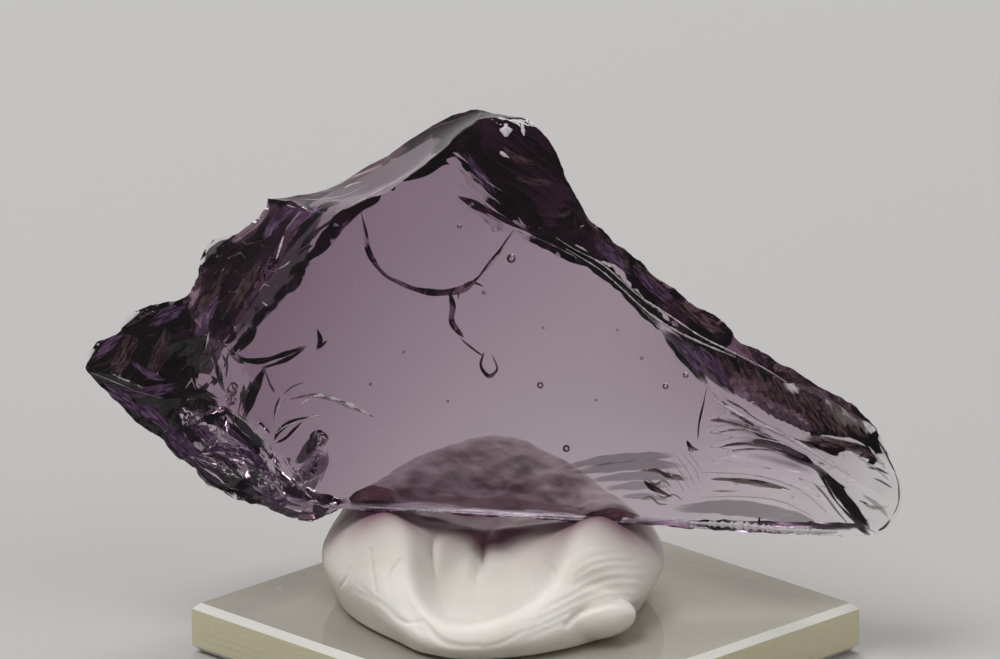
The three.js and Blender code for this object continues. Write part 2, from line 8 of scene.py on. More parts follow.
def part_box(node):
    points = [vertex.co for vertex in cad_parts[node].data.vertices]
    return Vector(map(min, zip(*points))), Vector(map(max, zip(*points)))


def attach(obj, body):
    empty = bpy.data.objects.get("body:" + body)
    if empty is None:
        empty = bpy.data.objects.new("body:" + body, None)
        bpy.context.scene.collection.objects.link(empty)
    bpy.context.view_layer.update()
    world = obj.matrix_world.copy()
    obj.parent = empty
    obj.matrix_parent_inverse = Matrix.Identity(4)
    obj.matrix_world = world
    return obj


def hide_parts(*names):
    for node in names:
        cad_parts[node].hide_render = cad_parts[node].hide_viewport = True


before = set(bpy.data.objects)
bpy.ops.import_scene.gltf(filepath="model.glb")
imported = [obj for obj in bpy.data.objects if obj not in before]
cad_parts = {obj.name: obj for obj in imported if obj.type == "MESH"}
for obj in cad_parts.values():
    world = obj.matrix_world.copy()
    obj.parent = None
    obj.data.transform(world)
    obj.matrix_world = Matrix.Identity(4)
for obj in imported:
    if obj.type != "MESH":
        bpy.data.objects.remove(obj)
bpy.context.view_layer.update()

mm = 0.001
leanAngle = math.radians(18.7)  # the shard leans back until its broad face meets the camera squarely
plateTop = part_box("acrylic_base")[1].z
frameMiddle = (500, 329.5)  # pixel in the middle of the picture
plateMiddle = (525.6, 602.7)  # pixel of the middle of the base's top
pixelSize = 0.1076 * mm  # one pixel on the object


def linkObject(name, mesh):
    obj = bpy.data.objects.new(name, mesh)
    bpy.context.scene.collection.objects.link(obj)
    return obj


def meshObject(name, points, faces, smooth=True):
    mesh = bpy.data.meshes.new(name)
    mesh.from_pydata([tuple(p) for p in points], [], [tuple(f) for f in faces])
    mesh.validate()
    mesh.polygons.foreach_set("use_smooth", [smooth] * len(mesh.polygons))
    return linkObject(name, mesh)


def clamp(value):
    return min(max(value, 0), 1)


def ramp(value, start, end):  # 0 up to start and 1 from end on
    return clamp((value - start) / (end - start))


def taper(share, margin, power=1):  # rises from both ends of a stroke to 1 in its middle
    return math.sin(math.pi * min(max(share, margin), 1 - margin)) ** power


def pointArray(mesh, kind):  # the "co" or the "normal" of every point
    values = np.zeros((len(mesh.vertices), 3))
    mesh.vertices.foreach_get(kind, values.reshape(-1))
    return values


def movePoints(mesh, spots):
    mesh.vertices.foreach_set("co", spots.ravel())
    mesh.update()


def writeAttribute(mesh, name, values, kind="FLOAT"):
    layer = mesh.attributes.new(name, kind, "POINT")
    layer.data.foreach_set("value" if kind == "FLOAT" else "vector", values)


def scatter(x, y, z):  # a repeatable number from -0.5 to 0.5 for a place
    value = math.sin(x * 12.9898 + y * 78.233 + z * 37.719) * 43758.5453
    return value - math.floor(value) - 0.5


def curvePoint(points, along):  # a centripetal Catmull-Rom curve through the points
    padded = [points[0] * 2 - points[1], *points, points[-1] * 2 - points[-2]]
    scaled = along * (len(points) - 1)
    i = min(int(scaled), len(points) - 2)
    level = padded[i:i + 4]
    knots = [0.0]
    for a, b in zip(level, level[1:]):
        knots.append(knots[-1] + max((b - a).length, 1e-6) ** 0.5)
    at = knots[1] + (scaled - i) * (knots[2] - knots[1])
    spans = [[(0, 1), (1, 2), (2, 3)], [(0, 2), (1, 3)], [(1, 2)]]
    for span in spans:
        level = [(a * (knots[q] - at) + b * (at - knots[p])) / (knots[q] - knots[p])
                 for a, b, (p, q) in zip(level, level[1:], span)]
    return level[0]


def fromPicture(px, py):  # a pixel of the finished picture, as across and height in mm
    return Vector(((px - plateMiddle[0]) * pixelSize / mm, (plateMiddle[1] - py) * pixelSize / mm))


crystal = {
    "refinements": 4,  # each one cuts every triangle into four
    "forwardShift": 6,  # mm
    "latticeStep": 8.5,  # mm between helper points inside a large facet
    "latticeEdge": 0.42,  # how clear of the facet's edges they stay, as a share of that step
    "ior": 1.52,
    "absorbPerMetre": (69, 96, 74),
    "absorbDensity": 120,
}

# the shard's corners as seen on its broad face: a pixel of the finished picture, and a depth in mm
cagePoints = {
    "o": [
        (87, 371, 6.2), (88, 355, 7), (97, 342, 7.2), (117, 334, 6.4), (124, 322, 6), (138, 311, 5.4),
        (156, 304, 5.2), (184, 298, 4.8), (198, 276, 4.5), (203, 253, 4), (213, 240, 4), (236, 235, 4),
        (256, 220, 5), (267, 198, 6.5), (300, 195, 8), (335, 185, 8.5), (366, 167, 9), (400, 146, 9),
        (430, 127, 9), (464, 112, 8.5), (482, 110, 7.5), (522, 118, 5.5), (543, 134, 4), (557, 155, 3.6),
        (567, 182, 3.6), (580, 204, 3.6), (590, 221, 3.6), (602, 229, 3), (614, 243, 3), (640, 261, 3),
        (661, 281, 2.9), (684, 297, 2.8), (722, 320, 2.8), (735, 338, 2.7), (758, 349, 2.6), (800, 374, 2.9),
        (845, 401, 2.5), (864, 417, 2.2), (877, 433, 1.8), (888, 457, 1.6), (900, 483, 1.5), (900, 503, 1.5),
        (891, 522, 1.6), (878, 534, 1.5), (840, 536, 1.2), (800, 537, 1), (750, 532, 0.6), (700, 528, 0),
        (640, 524, 0), (560, 520, 0), (480, 515, 0), (400, 510, 0), (340, 507, 0.6), (318, 519, 2.5),
        (295, 519, 3), (270, 509, 3.5), (235, 500, 4), (206, 484, 4.2), (178, 458, 4.3), (150, 432, 4.5),
        (118, 402, 4.9),
    ],  # the outline, clockwise from the left tip
    "f": [
        (440, 153, 1), (456, 174, 0.6), (458, 197, 0.3), (512, 229, 0), (560, 250, 0), (600, 271, 0),
        (628, 296, 0), (655, 325, 0), (686, 360, 0), (707, 388, 0.2), (699, 440, 0.1), (696, 485, 0),
        (320, 502, 0.8), (300, 475, 0.8), (275, 441, 0.8), (240, 414, 1), (253, 385, 0.6), (238, 356, 0.6),
        (268, 307, 0.3), (299, 270, 0), (322, 233, 0), (352, 207, 0.3), (385, 194, 0.6), (405, 180, 0.8),
    ],  # the clear front window
    "r": [
        (562, 241, 1.2), (600, 262, 1.4), (645, 302, 1.4), (690, 333, 1.8), (740, 357, 2.1), (787, 383, 2.1),
        (850, 414, 1.6),
    ],  # the bright ridge down the right shoulder
    "g": [(723, 397, 0.6), (760, 418, 0.8), (800, 437, 1), (845, 441, 1.2)],
    "h": [(762, 431, 0.5), (805, 455, 0.6), (852, 478, 1)],
    "s": [(838, 503, 0.6)],
    "m": [
        (225, 300, 2.2), (208, 335, 2.4), (195, 395, 3.4), (165, 400, 3.2), (120, 377, 3.8), (228, 411, 2.6),
        (150, 345, 4),
    ],  # corners of the chipped left end
    "q": [(200, 455, 2.8), (258, 468, 2), (285, 495, 1.8)],
    "k": [(480, 119, 4)],  # the knob under the peak
    "b": [
        (450, 167, 13.5), (475, 212, 12.6), (520, 240, 10.8), (575, 264, 9.2), (628, 303, 8.2),
        (684, 364, 9.2), (732, 408, 9.6), (795, 439, 8.6), (845, 445, 5.6), (874, 468, 2.7),
        (870, 518, 2.2), (800, 522, 3.4), (700, 521, 3.9), (640, 517, 4.2), (560, 512, 4.8),
        (480, 507, 5.6), (400, 501, 7), (335, 492, 9.8), (298, 468, 12.5), (252, 430, 15.5),
        (207, 385, 17.5), (256, 336, 16.2), (299, 284, 15.6), (343, 230, 14.8), (388, 198, 14),
    ],  # the back face
}


def cagePoint(px, py, depth):  # across, depth and height, to the nearest 0.1 mm as in the part
    spot = fromPicture(px, py)
    return Vector((round(spot.x, 1), depth, round(spot.y, 1)))


# loops run clockwise as seen from the front; hollow is how far the middle sinks, in mm, and rough is how
# ragged the edges are
frontFacets = {
    "window": {"loop": "f0-f11 o47-o52 f12-f23", "hollow": -0.5, "rough": 0.02},
    "topRim": {"loop": "o13-o20 k0 f0 f23 f22 f21", "hollow": 0.3, "rough": 0.03, "stria": 0.5},
    "knobTop": {"loop": "o20 o21 k0", "hollow": 0, "rough": 0.03},
    "knob": {"loop": "k0 o21-o26 r0 f3 f2 f1 f0", "hollow": -0.3, "rough": 0.03, "rings": 1},
    "shoulder": {"loop": "r0 o26-o38 r6 r5 r4 r3 r2 r1", "hollow": 0.1, "rough": 0.08, "hackle": 0.25,
     "stria": 0.5},
    "leaf": {"loop": "f3 r0-r6 o38 o39 g3-g0 f9-f4", "hollow": 0.6, "rough": 0.03, "stria": 1},
    "fanTop": {"loop": "f9 g0-g3 o39 o40 o41 h2 h1 h0", "hollow": 0.3, "rough": 0.02, "ripple": 0.6},
    "fanRight": {"loop": "h1 h2 o41 o42 o43 s0", "hollow": 0.3, "rough": 0.02, "hackle": 0.5},
    "fanMain": {"loop": "f9 h0 h1 s0 o43-o47 f11 f10", "hollow": 0.6, "rough": 0.02, "ripple": 0.5},
    "chunkA": {"loop": "o10-o13 f21-f18 m0", "hollow": 0.2, "rough": 0.08, "hackle": 0.5, "shards": 0.15},
    "chunkB": {"loop": "o7-o10 m0 m1", "hollow": 0.1, "rough": 0.08, "hackle": 0.5, "shards": 0.12},
    "chunkC": {"loop": "m0 f18 f17 m1", "hollow": 0.4, "rough": 0.08, "hackle": 1, "shards": 0.4},
    "blockTop": {"loop": "o3-o7 m1 m6", "hollow": 0.1, "rough": 0.08, "hackle": 0.3, "shards": 0.15},
    "blockFace": {"loop": "o0-o3 m6 m1-m4", "hollow": 0.1, "rough": 0.06, "hackle": 0.35, "shards": 0.12},
    "greyChip": {"loop": "m1 f17 f16 f15 m5 m2", "hollow": 0.4, "rough": 0.08, "hackle": 0.5, "shards": 0.5},
    "wedge": {"loop": "o0 m4 m3 o59 o60", "hollow": 0.2, "rough": 0.06, "hackle": 0.2},
    "clearChip": {"loop": "m3 m2 m5 q0 o58 o59", "hollow": 0.4, "rough": 0.08, "hackle": 0.4, "shards": 0.7},
    "chipA": {"loop": "m5 f15 f14 q1 q0", "hollow": 0.6, "rough": 0.1, "hackle": 0.4, "shards": 1},
    "chipB": {"loop": "f14 f13 f12 q2 q1", "hollow": 0.6, "rough": 0.1, "hackle": 0.4, "shards": 1},
    "chipC": {"loop": "q0 q1 q2 o55-o58", "hollow": 0.6, "rough": 0.1, "hackle": 0.4, "shards": 1},
    "chipD": {"loop": "f12 o52-o55 q2", "hollow": 0.2, "rough": 0.1, "hackle": 0.3, "shards": 1},
}
backFacets = {
    "back": {"loop": "b0-b24", "hollow": 1.3, "rough": 0.02},
    "backRim": {"loop": "o13-o20 b0 b24 b23", "hollow": 0, "rough": 0.03},
    "backKnob": {"loop": "o20-o26 b3 b2 b1 b0", "hollow": -0.1, "rough": 0.05},
    "backShoulder": {"loop": "o26-o32 b5 b4 b3", "hollow": -0.1, "rough": 0.05},
    "backLeaf": {"loop": "o32-o38 b8 b7 b6 b5", "hollow": -0.1, "rough": 0.05},
    "backEnd": {"loop": "o38-o43 b10 b9 b8", "hollow": 0, "rough": 0.05},
    "underRight": {"loop": "o43-o47 b12 b11 b10", "hollow": 0.2, "rough": 0.04, "frost": 0.8},
    "underMiddle": {"loop": "o47-o52 b17-b12", "hollow": 0.3, "rough": 0.04, "frost": 1},
    "underLeft": {"loop": "o52-o56 b18 b17", "hollow": 0.3, "rough": 0.06, "frost": 0.5},
    "backLow": {"loop": "o56-o60 o0 b20 b19 b18", "hollow": 0, "rough": 0.06},
    "backLeft": {"loop": "o0-o7 b21 b20", "hollow": -0.1, "rough": 0.06},
    "backTop": {"loop": "o7-o13 b23 b22 b21", "hollow": -0.2, "rough": 0.06},
}
facets = [*frontFacets.values(), *backFacets.values()]


def pointNames(loop):  # o13-o20 stands for a run of points
    names = []
    for item in loop.split():
        ends = item.split("-")
        first, last = int(ends[0][1:]), int(ends[-1][1:])
        step = 1 if last >= first else -1
        names += [f"{item[0]}{i}" for i in range(first, last + step, step)]
    return names


def latticePoints(loop, step):  # helper points inside a large facet
    low = [min(p[i] for p in loop) for i in (0, 1)]
    high = [max(p[i] for p in loop) for i in (0, 1)]
    rowHeight = step * math.sqrt(3) / 2
    found = []
    row = 0
    y = low[1] + rowHeight / 2
    while y < high[1]:
        x = low[0] + (step if row % 2 else step / 2)
        while x < high[0]:
            p = Vector((x, y))
            inside = False
            nearest = 1e9
            for a, b in zip(loop, loop[1:] + loop[:1]):
                if (a.y > y) != (b.y > y) and x < (b.x - a.x) * (y - a.y) / (b.y - a.y) + a.x:
                    inside = not inside
                edge = b - a
                along = clamp((p - a).dot(edge) / edge.length_squared)
                nearest = min(nearest, (a + edge * along - p).length)
            if inside and nearest > step * crystal["latticeEdge"]:
                found.append(p)
            x += step
        row += 1
        y += rowHeight
    return found


def buildCage():
    points, index, triangles, owners = [], {}, [], []
    for letter, rows in cagePoints.items():
        for i, row in enumerate(rows):
            index[f"{letter}{i}"] = len(points)
            points.append(cagePoint(*row))
    for number, facet in enumerate(facets):
        ids = [index[name] for name in pointNames(facet["loop"])]
        if number < len(frontFacets):
            ids.reverse()
        corners = [points[i] for i in ids]
        centre = sum(corners, Vector()) / len(ids)
        normal = Vector()
        for a, b in zip(corners, corners[1:] + corners[:1]):
            normal += (a - centre).cross(b - centre)
        normal.normalize()
        across = Vector((0, 0, 1)).cross(normal).normalized()
        up = normal.cross(across)
        flat = [Vector(((p - centre).dot(across), (p - centre).dot(up))) for p in corners]
        helpers = latticePoints(flat, crystal["latticeStep"])
        size = len(ids)
        for p in helpers:
            ids.append(len(points))
            points.append(centre + across * p.x + up * p.y)
        edges = [(i, (i + 1) % size) for i in range(size)]
        cut = geometry.delaunay_2d_cdt(flat + helpers, edges, [list(range(size))], 1, 1e-6)
        for face in cut[2]:
            a, b, c = (ids[cut[3][i][0]] for i in face)
            outward = (points[b] - points[a]).cross(points[c] - points[a]).dot(normal) > 0
            triangles.append((a, b, c) if outward else (a, c, b))
            owners.append(number)
    return np.array([tuple(p) for p in points]), np.array(triangles), np.array(owners)


def edgeList(triangles, owners, count):  # every edge once, and whether it divides two facets
    pairs = np.sort(np.concatenate([triangles[:, [0, 1]], triangles[:, [1, 2]], triangles[:, [2, 0]]]), 1)
    keys = pairs[:, 0].astype(np.int64) * count + pairs[:, 1]
    order = np.argsort(keys, kind="stable")
    sides = np.concatenate([owners] * 3)[order]
    edges = pairs[order][0::2]
    return edges, sides[0::2], sides[1::2], keys[order][0::2]


def refineCage(points, triangles, owners):
    count = len(points)
    edges, left, right, keys = edgeList(triangles, owners, count)
    middles = (points[edges[:, 0]] + points[edges[:, 1]]) / 2
    isCrease = left != right
    neighbours = {}
    for a, b in edges[isCrease]:
        neighbours.setdefault(a, []).append(b)
        neighbours.setdefault(b, []).append(a)

    def onward(a, b):  # the crease point that carries the line from b to a onward
        direction = points[a] - points[b]
        direction = direction / np.linalg.norm(direction)
        best, straightest = points[a] * 2 - points[b], 0.75
        for c in neighbours[a]:
            if c == b:
                continue
            step = points[c] - points[a]
            straightness = step.dot(direction) / np.linalg.norm(step)
            if straightness > straightest:
                best, straightest = points[c], straightness
        return best

    for e in np.nonzero(isCrease)[0]:
        a, b = edges[e]
        total = points[a] + points[b]
        rough = max(facets[left[e]]["rough"], facets[right[e]]["rough"])
        swing = 2 * rough * np.linalg.norm(points[a] - points[b])
        x, y, z = total
        shake = np.array([scatter(x, y, z), scatter(y, z, x), scatter(z, x, y)])
        middles[e] = total * 9 / 16 - (onward(a, b) + onward(b, a)) / 16 + swing * shake
    a, b, c = triangles.T

    def middleOf(p, q):
        low, high = np.minimum(p, q), np.maximum(p, q)
        return count + np.searchsorted(keys, low.astype(np.int64) * count + high)

    ab, bc, ca = middleOf(a, b), middleOf(b, c), middleOf(c, a)
    parts = [(a, ab, ca), (ab, b, bc), (ca, bc, c), (ab, bc, ca)]
    newTriangles = np.stack([np.stack(part, 1) for part in parts], 1).reshape(-1, 3)
    return np.concatenate([points, middles]), newTriangles, np.repeat(owners, 4)


def relaxFacets(points, triangles, owners):
    # spans each facet between its edges like a taut skin, then lets its middle sink or bulge
    count = len(points)
    edges, left, right, _ = edgeList(triangles, owners, count)
    creaseEdges = edges[left != right]
    fixed = np.zeros(count, bool)
    fixed[creaseEdges.ravel()] = True
    ends = np.concatenate([edges[:, 0], edges[:, 1]])
    others = np.concatenate([edges[:, 1], edges[:, 0]])
    degree = np.bincount(ends, minlength=count).astype(float)

    def pull(values):
        return degree * values - np.bincount(ends, weights=values[others], minlength=count)

    def settle(push, start):  # conjugate gradients
        values = start.copy()
        rest = push - pull(values)
        rest[fixed] = 0
        scaled = rest / degree
        heading = scaled.copy()
        energy = (rest * scaled).sum()
        goal = energy * 1e-12
        for _ in range(500):
            change = pull(heading)
            change[fixed] = 0
            step = energy / max((heading * change).sum(), 1e-30)
            values += step * heading
            rest -= step * change
            scaled = rest / degree
            newEnergy = (rest * scaled).sum()
            if newEnergy < goal:
                break
            heading = scaled + newEnergy / energy * heading
            energy = newEnergy
        return values

    skin = np.stack([settle(np.zeros(count), points[:, k]) for k in range(3)], 1)
    depth = settle(np.where(fixed, 0.0, 1.0), np.zeros(count))
    facetOf = np.full(count, -1)
    facetOf[triangles.ravel()] = np.repeat(owners, 3)
    facetOf[fixed] = -1
    a, b, c = (skin[triangles[:, k]] for k in range(3))
    normals = np.stack([np.bincount(owners, weights=np.cross(b - a, c - a)[:, k], minlength=len(facets))
                        for k in range(3)], 1)
    normals /= np.linalg.norm(normals, axis=1, keepdims=True)
    for number, facet in enumerate(facets):
        inside = facetOf == number
        if inside.any():
            depth[inside] /= depth[inside].max()
            skin[inside] -= normals[number] * (facet["hollow"] * depth[inside])[:, None]
    return skin, depth, facetOf, creaseEdges


# thin cracks and folds inside the glass, seen nearly edge on: width in mm, turn away from the picture in
# degrees, depth below the face in mm, then pixels of the finished picture
innerFolds = [
    # the curved crack under the peak and its branch
    (1.2, -62, 2.4, [(361, 212), (366, 235), (369, 252), (384, 274), (408, 288)]),
    (1.5, -58, 2.4, [(388, 277), (414, 289), (440, 293), (466, 288), (480, 276)]),
    (0.9, -62, 2.4, [(472, 286), (486, 269), (499, 252), (513, 231)]),
    (1.4, -58, 3.2, [(449, 290), (453, 306), (452, 322), (464, 338)]),
    (0.8, -60, 3, [(458, 300), (461, 290), (472, 283), (484, 287)]),
    (0.9, -62, 3, [(484, 352), (481, 366), (489, 376), (497, 370), (492, 354)]),
    (0.6, -60, 3, [(460, 338), (472, 348), (484, 357)]),
    # the dark spike under the knob
    (1.6, -56, 1.2, [(458, 197), (476, 206), (500, 219), (524, 232)]),
    # breaks in the chipped lower left corner
    (0.9, -61, 1.4, [(290, 399), (312, 395), (334, 399), (352, 407), (375, 417)]),
    (1.6, -54, 1.4, [(232, 412), (248, 428), (262, 440), (276, 456), (284, 470)]),
    (1.4, -54, 1.8, [(196, 432), (212, 428), (230, 440), (252, 450)]),
    (1.0, -56, 1.6, [(200, 462), (218, 478), (236, 494)]),
    (0.9, -54, 1.4, [(262, 452), (272, 464), (276, 480), (286, 494)]),
    (0.8, -54, 1.2, [(286, 455), (296, 472), (302, 492)]),
    (1.0, -54, 1.2, [(212, 346), (218, 364), (222, 382), (228, 396)]),
    # arcs in the fan at the lower right
    (1.1, -60, 1, [(709, 420), (724, 420), (742, 424), (764, 431)]),
    (0.6, -60, 1, [(711, 434), (725, 430), (745, 429), (760, 431)]),
    (0.7, -58, 0.8, [(764, 429), (781, 434), (800, 441), (818, 450)]),
    (0.7, -60, 1, [(717, 447), (730, 444), (748, 443), (766, 445), (784, 450)]),
    (0.5, -60, 1.2, [(725, 452), (745, 449), (765, 449), (787, 453)]),
    (1.0, -62, 1.2, [(709, 479), (735, 480), (758, 482), (790, 490)]),
    (0.5, -62, 1.2, [(709, 490), (724, 491), (738, 491)]),
    (0.5, -60, 1, [(752, 517), (760, 518), (768, 518)]),
    (0.5, -60, 1, [(759, 517), (757, 525)]),
    (0.4, -60, 0.5, [(705, 524), (730, 525), (762, 528)]),
    (0.5, -60, 1, [(706, 386), (702, 405), (698, 424), (697, 440)]),
    # the grey leaf left of the fan
    (0.8, -58, 1.6, [(640, 470), (656, 470), (670, 476), (684, 480)]),
    (1.0, -58, 1.6, [(643, 480), (650, 486), (660, 491), (672, 497)]),
    (0.8, -58, 1.2, [(686, 440), (690, 447), (698, 450)]),
    (0.8, -60, 1, [(858, 500), (872, 507), (888, 505)]),
]

# crushed spots inside the glass: middle and half reach in pixels, turn and slant in degrees, depth in mm
crumples = [
    {"middle": (227, 456), "reach": (29, 12), "turn": -33, "slant": -50, "under": 4, "rough": 0.5},
    {"middle": (318, 440), "reach": (12, 8), "turn": 40, "slant": -50, "under": 3.4, "rough": 0.35},
    {"middle": (318, 456), "reach": (12, 9), "turn": -60, "slant": -50, "under": 3.8, "rough": 0.4},
    {"middle": (307, 472), "reach": (11, 8), "turn": 20, "slant": -50, "under": 3.4, "rough": 0.4},
    {"middle": (278, 482), "reach": (20, 12), "turn": -25, "slant": -51, "under": 4, "rough": 0.4},
    {"middle": (238, 394), "reach": (14, 9), "turn": 60, "slant": -50, "under": 4, "rough": 0.4},
    {"middle": (195, 420), "reach": (20, 9), "turn": -30, "slant": -50, "under": 4, "rough": 0.4},
]

# painted shade: dark veils inside the glass, along where it has parted and where it only looks dark: width in
# mm, darkness, depth below the face in mm, pixels
darkShadeVeils = [
    # lower right
    (1.45, 1, 1.2, [(815, 466), (831, 484), (845, 502), (857, 517), (870, 534)]),
    (0.5, 1, 1.2, [(819, 473), (832, 482), (845, 488)]),
    (0.3, 0.7, 1.2, [(812, 482), (822, 491), (836, 508), (850, 526)]),
    (1.9, 0.5, 1.2, [(672, 509), (710, 507), (750, 509), (790, 517), (834, 533)]),
    (0.65, 0.55, 1, [(709, 478), (735, 480), (758, 483), (790, 489)]),
    (0.45, 0.55, 1, [(711, 419), (727, 422), (745, 427), (764, 431)]),
    (0.35, 0.6, 1, [(716, 447), (740, 443), (760, 445), (782, 450)]),
    (0.3, 0.8, 1, [(768, 431), (790, 439), (814, 449)]),
    (0.6, 0.8, 1, [(780, 454), (800, 460), (816, 468), (826, 478)]),
    (0.3, 0.9, 0.4, [(742, 529), (750, 530), (757, 530)]),
    (0.28, 0.8, 0.6, [(852, 450), (864, 451), (875, 454)]),
    (0.3, 0.9, 0.6, [(860, 456), (872, 459), (884, 464)]),
    (0.3, 0.9, 0.6, [(866, 467), (877, 469), (889, 475)]),
    (0.22, 0.8, 0.6, [(872, 478), (882, 482), (892, 489)]),
    (0.5, 0.45, 0.6, [(862, 494), (872, 501), (882, 510), (888, 519)]),
    (0.22, 0.9, 0.15, [(872, 433), (881, 446), (887, 458), (893, 470)]),
    (0.2, 0.85, 0.15, [(893, 470), (897, 482), (898, 494), (897, 504), (891, 517)]),
    (0.3, 0.9, 0.15, [(890, 518), (884, 526), (876, 531)]),
    # the grey leaf left of the fan
    (1.1, 0.5, 1.8, [(560, 468), (600, 460), (640, 456), (676, 455)]),
    (1.2, 0.5, 1.8, [(572, 472), (610, 467), (650, 464), (684, 466)]),
    (1.1, 0.45, 1.8, [(590, 480), (625, 476), (660, 475), (690, 479)]),
    (0.9, 0.4, 1.8, [(604, 488), (636, 485), (668, 486)]),
    (0.7, 0.4, 1.8, [(620, 496), (646, 496), (668, 500)]),
    (0.3, 0.7, 1.4, [(646, 478), (655, 484), (663, 480), (672, 488)]),
    (0.25, 0.7, 1.4, [(658, 470), (667, 477), (677, 475), (684, 482)]),
    (0.25, 0.7, 1.4, [(653, 492), (664, 497), (673, 494), (682, 500)]),
    (0.25, 0.7, 1.4, [(640, 500), (650, 496), (658, 503), (668, 504)]),
    # the dark border of the window
    (1.3, 1, 0.3, [(514, 225), (540, 235), (566, 246), (590, 262), (612, 281), (634, 299)]),
    (1.2, 1, 0.3, [(618, 288), (640, 308), (660, 328)]),
    (1.8, 0.95, 0.3, [(662, 330), (678, 347), (692, 364), (706, 384)]),
    (1.8, 0.8, 0.3, [(678, 336), (694, 352), (712, 372), (732, 394)]),
    # the hooked crack at the left
    (0.7, 1, 1.6, [(231, 352), (245, 360), (262, 361), (280, 356), (294, 351), (308, 346)]),
    (0.5, 1, 1.6, [(306, 348), (292, 357), (276, 364), (262, 368)]),
    (1.1, 1, 1.8, [(268, 366), (260, 378), (255, 392), (250, 406), (244, 421)]),
    (0.7, 0.9, 1.8, [(247, 382), (247, 396), (244, 410)]),
    (0.5, 1, 1.5, [(318, 329), (321, 341), (317, 350)]),
    (0.35, 1, 1.5, [(318, 349), (323, 345), (328, 340)]),
    (0.3, 0.8, 1.5, [(266, 371), (271, 384), (276, 393)]),
    (0.25, 0.7, 1.5, [(284, 394), (294, 386), (305, 382)]),
    (0.3, 0.9, 1.5, [(281, 396), (277, 406), (275, 419)]),
    (0.5, 1, 1.4, [(275, 440), (280, 431), (292, 421), (312, 416)]),
    (0.4, 1, 1.4, [(278, 442), (286, 438), (294, 430), (303, 421)]),
    # chips of the lower left corner
    (1.2, 1, 1.2, [(170, 396), (182, 393), (196, 393), (210, 400), (224, 408)]),
    (1.0, 1, 1.2, [(222, 405), (234, 415), (246, 426), (258, 438), (270, 450)]),
    (0.6, 1, 1.2, [(229, 421), (240, 431), (256, 443), (268, 447)]),
    (0.5, 1, 1, [(207, 334), (201, 350), (195, 366), (194, 380), (199, 390)]),
    (0.7, 1, 1.2, [(212, 344), (217, 358), (221, 374), (224, 390)]),
    (0.35, 0.9, 1.2, [(224, 352), (229, 362), (228, 378)]),
    (0.35, 0.9, 1.2, [(200, 384), (210, 393), (220, 398)]),
    (0.6, 0.9, 0.8, [(186, 344), (191, 360), (190, 376), (184, 390)]),
    (0.45, 1, 1, [(167, 401), (155, 406), (144, 409), (138, 414)]),
    (0.6, 1, 1, [(140, 416), (150, 411), (162, 409), (168, 404)]),
    (0.8, 1, 1, [(173, 404), (178, 416), (180, 426), (174, 436)]),
    (0.45, 0.9, 1, [(152, 424), (160, 432), (172, 437)]),
    (0.8, 0.9, 1.2, [(180, 432), (192, 428), (204, 428), (214, 430)]),
    (0.8, 0.9, 1.2, [(196, 424), (206, 420), (216, 423), (224, 418)]),
    (0.7, 1, 1.4, [(204, 447), (216, 452), (228, 460), (240, 472), (248, 479)]),
    (0.5, 0.9, 1.4, [(214, 447), (230, 452), (246, 452), (258, 450)]),
    (1.0, 0.9, 1.4, [(244, 452), (252, 460), (256, 468), (250, 474)]),
    (0.4, 0.9, 1.2, [(220, 458), (232, 462), (242, 468)]),
    (0.8, 0.85, 1, [(152, 434), (168, 448), (186, 463), (200, 478), (216, 488)]),
    (0.4, 0.9, 1, [(214, 474), (224, 486), (236, 497)]),
    (0.4, 0.8, 1, [(262, 486), (276, 494), (292, 501), (306, 504)]),
    (0.4, 0.8, 1, [(280, 470), (288, 482), (296, 494)]),
    (2.2, 0.4, 3, [(172, 425), (196, 446), (226, 470)]),
    (2.2, 0.45, 3, [(258, 466), (272, 480), (290, 490)]),
    # the crushed spot beside the window
    (1.3, 0.85, 2, [(296, 462), (304, 456), (312, 444), (318, 430)]),
    (1.6, 0.6, 2.4, [(303, 478), (312, 472), (322, 464), (328, 452)]),
    (1.2, 0.7, 2, [(300, 494), (310, 488), (320, 476)]),
    # splinters at the upper left
    (1.0, 1, 1.4, [(341, 205), (328, 208), (316, 219), (305, 231), (298, 242)]),
    (0.6, 0.95, 1.4, [(337, 221), (324, 230), (312, 240), (300, 252)]),
    (0.4, 0.9, 1.4, [(316, 246), (307, 251), (298, 258)]),
    (0.9, 1, 1.4, [(311, 263), (300, 269), (290, 279)]),
    (0.9, 1, 1.4, [(292, 284), (284, 293), (276, 302)]),
    (0.9, 1, 1.4, [(270, 306), (262, 316), (255, 328)]),
    (1.1, 1, 1.4, [(258, 326), (250, 338), (241, 347), (230, 354)]),
    (0.5, 0.9, 1.2, [(284, 222), (292, 224), (300, 220)]),
    (2.8, 0.78, 0.9, [(282, 204), (268, 228), (246, 250), (224, 264), (215, 286), (202, 308), (178, 322)]),
    (3.4, 0.8, 1.4, [(300, 205), (278, 228), (256, 258), (240, 290), (224, 318), (206, 338)]),
    (2.8, 0.78, 1.6, [(328, 208), (312, 228), (300, 252), (290, 274), (270, 298), (250, 322), (236, 345)]),
    (2.2, 0.5, 1.2, [(238, 246), (222, 282), (208, 318)]),
    (1.3, 0.85, 0.4, [(236, 242), (222, 246), (212, 254), (207, 268)]),
    (1.1, 0.8, 0.3, [(126, 403), (147, 423), (165, 439), (184, 455)]),
    (1.1, 0.8, 0.3, [(176, 449), (197, 469), (215, 483), (238, 495)]),
    # the block at the left tip
    (2.8, 0.75, 0.4, [(112, 358), (132, 342), (152, 330), (178, 318)]),
    (2.8, 0.75, 0.4, [(120, 372), (140, 362), (164, 350), (190, 338)]),
    # the top rim
    (2.4, 0.42, 0.8, [(316, 199), (350, 190), (390, 172), (424, 150), (452, 128)]),
]
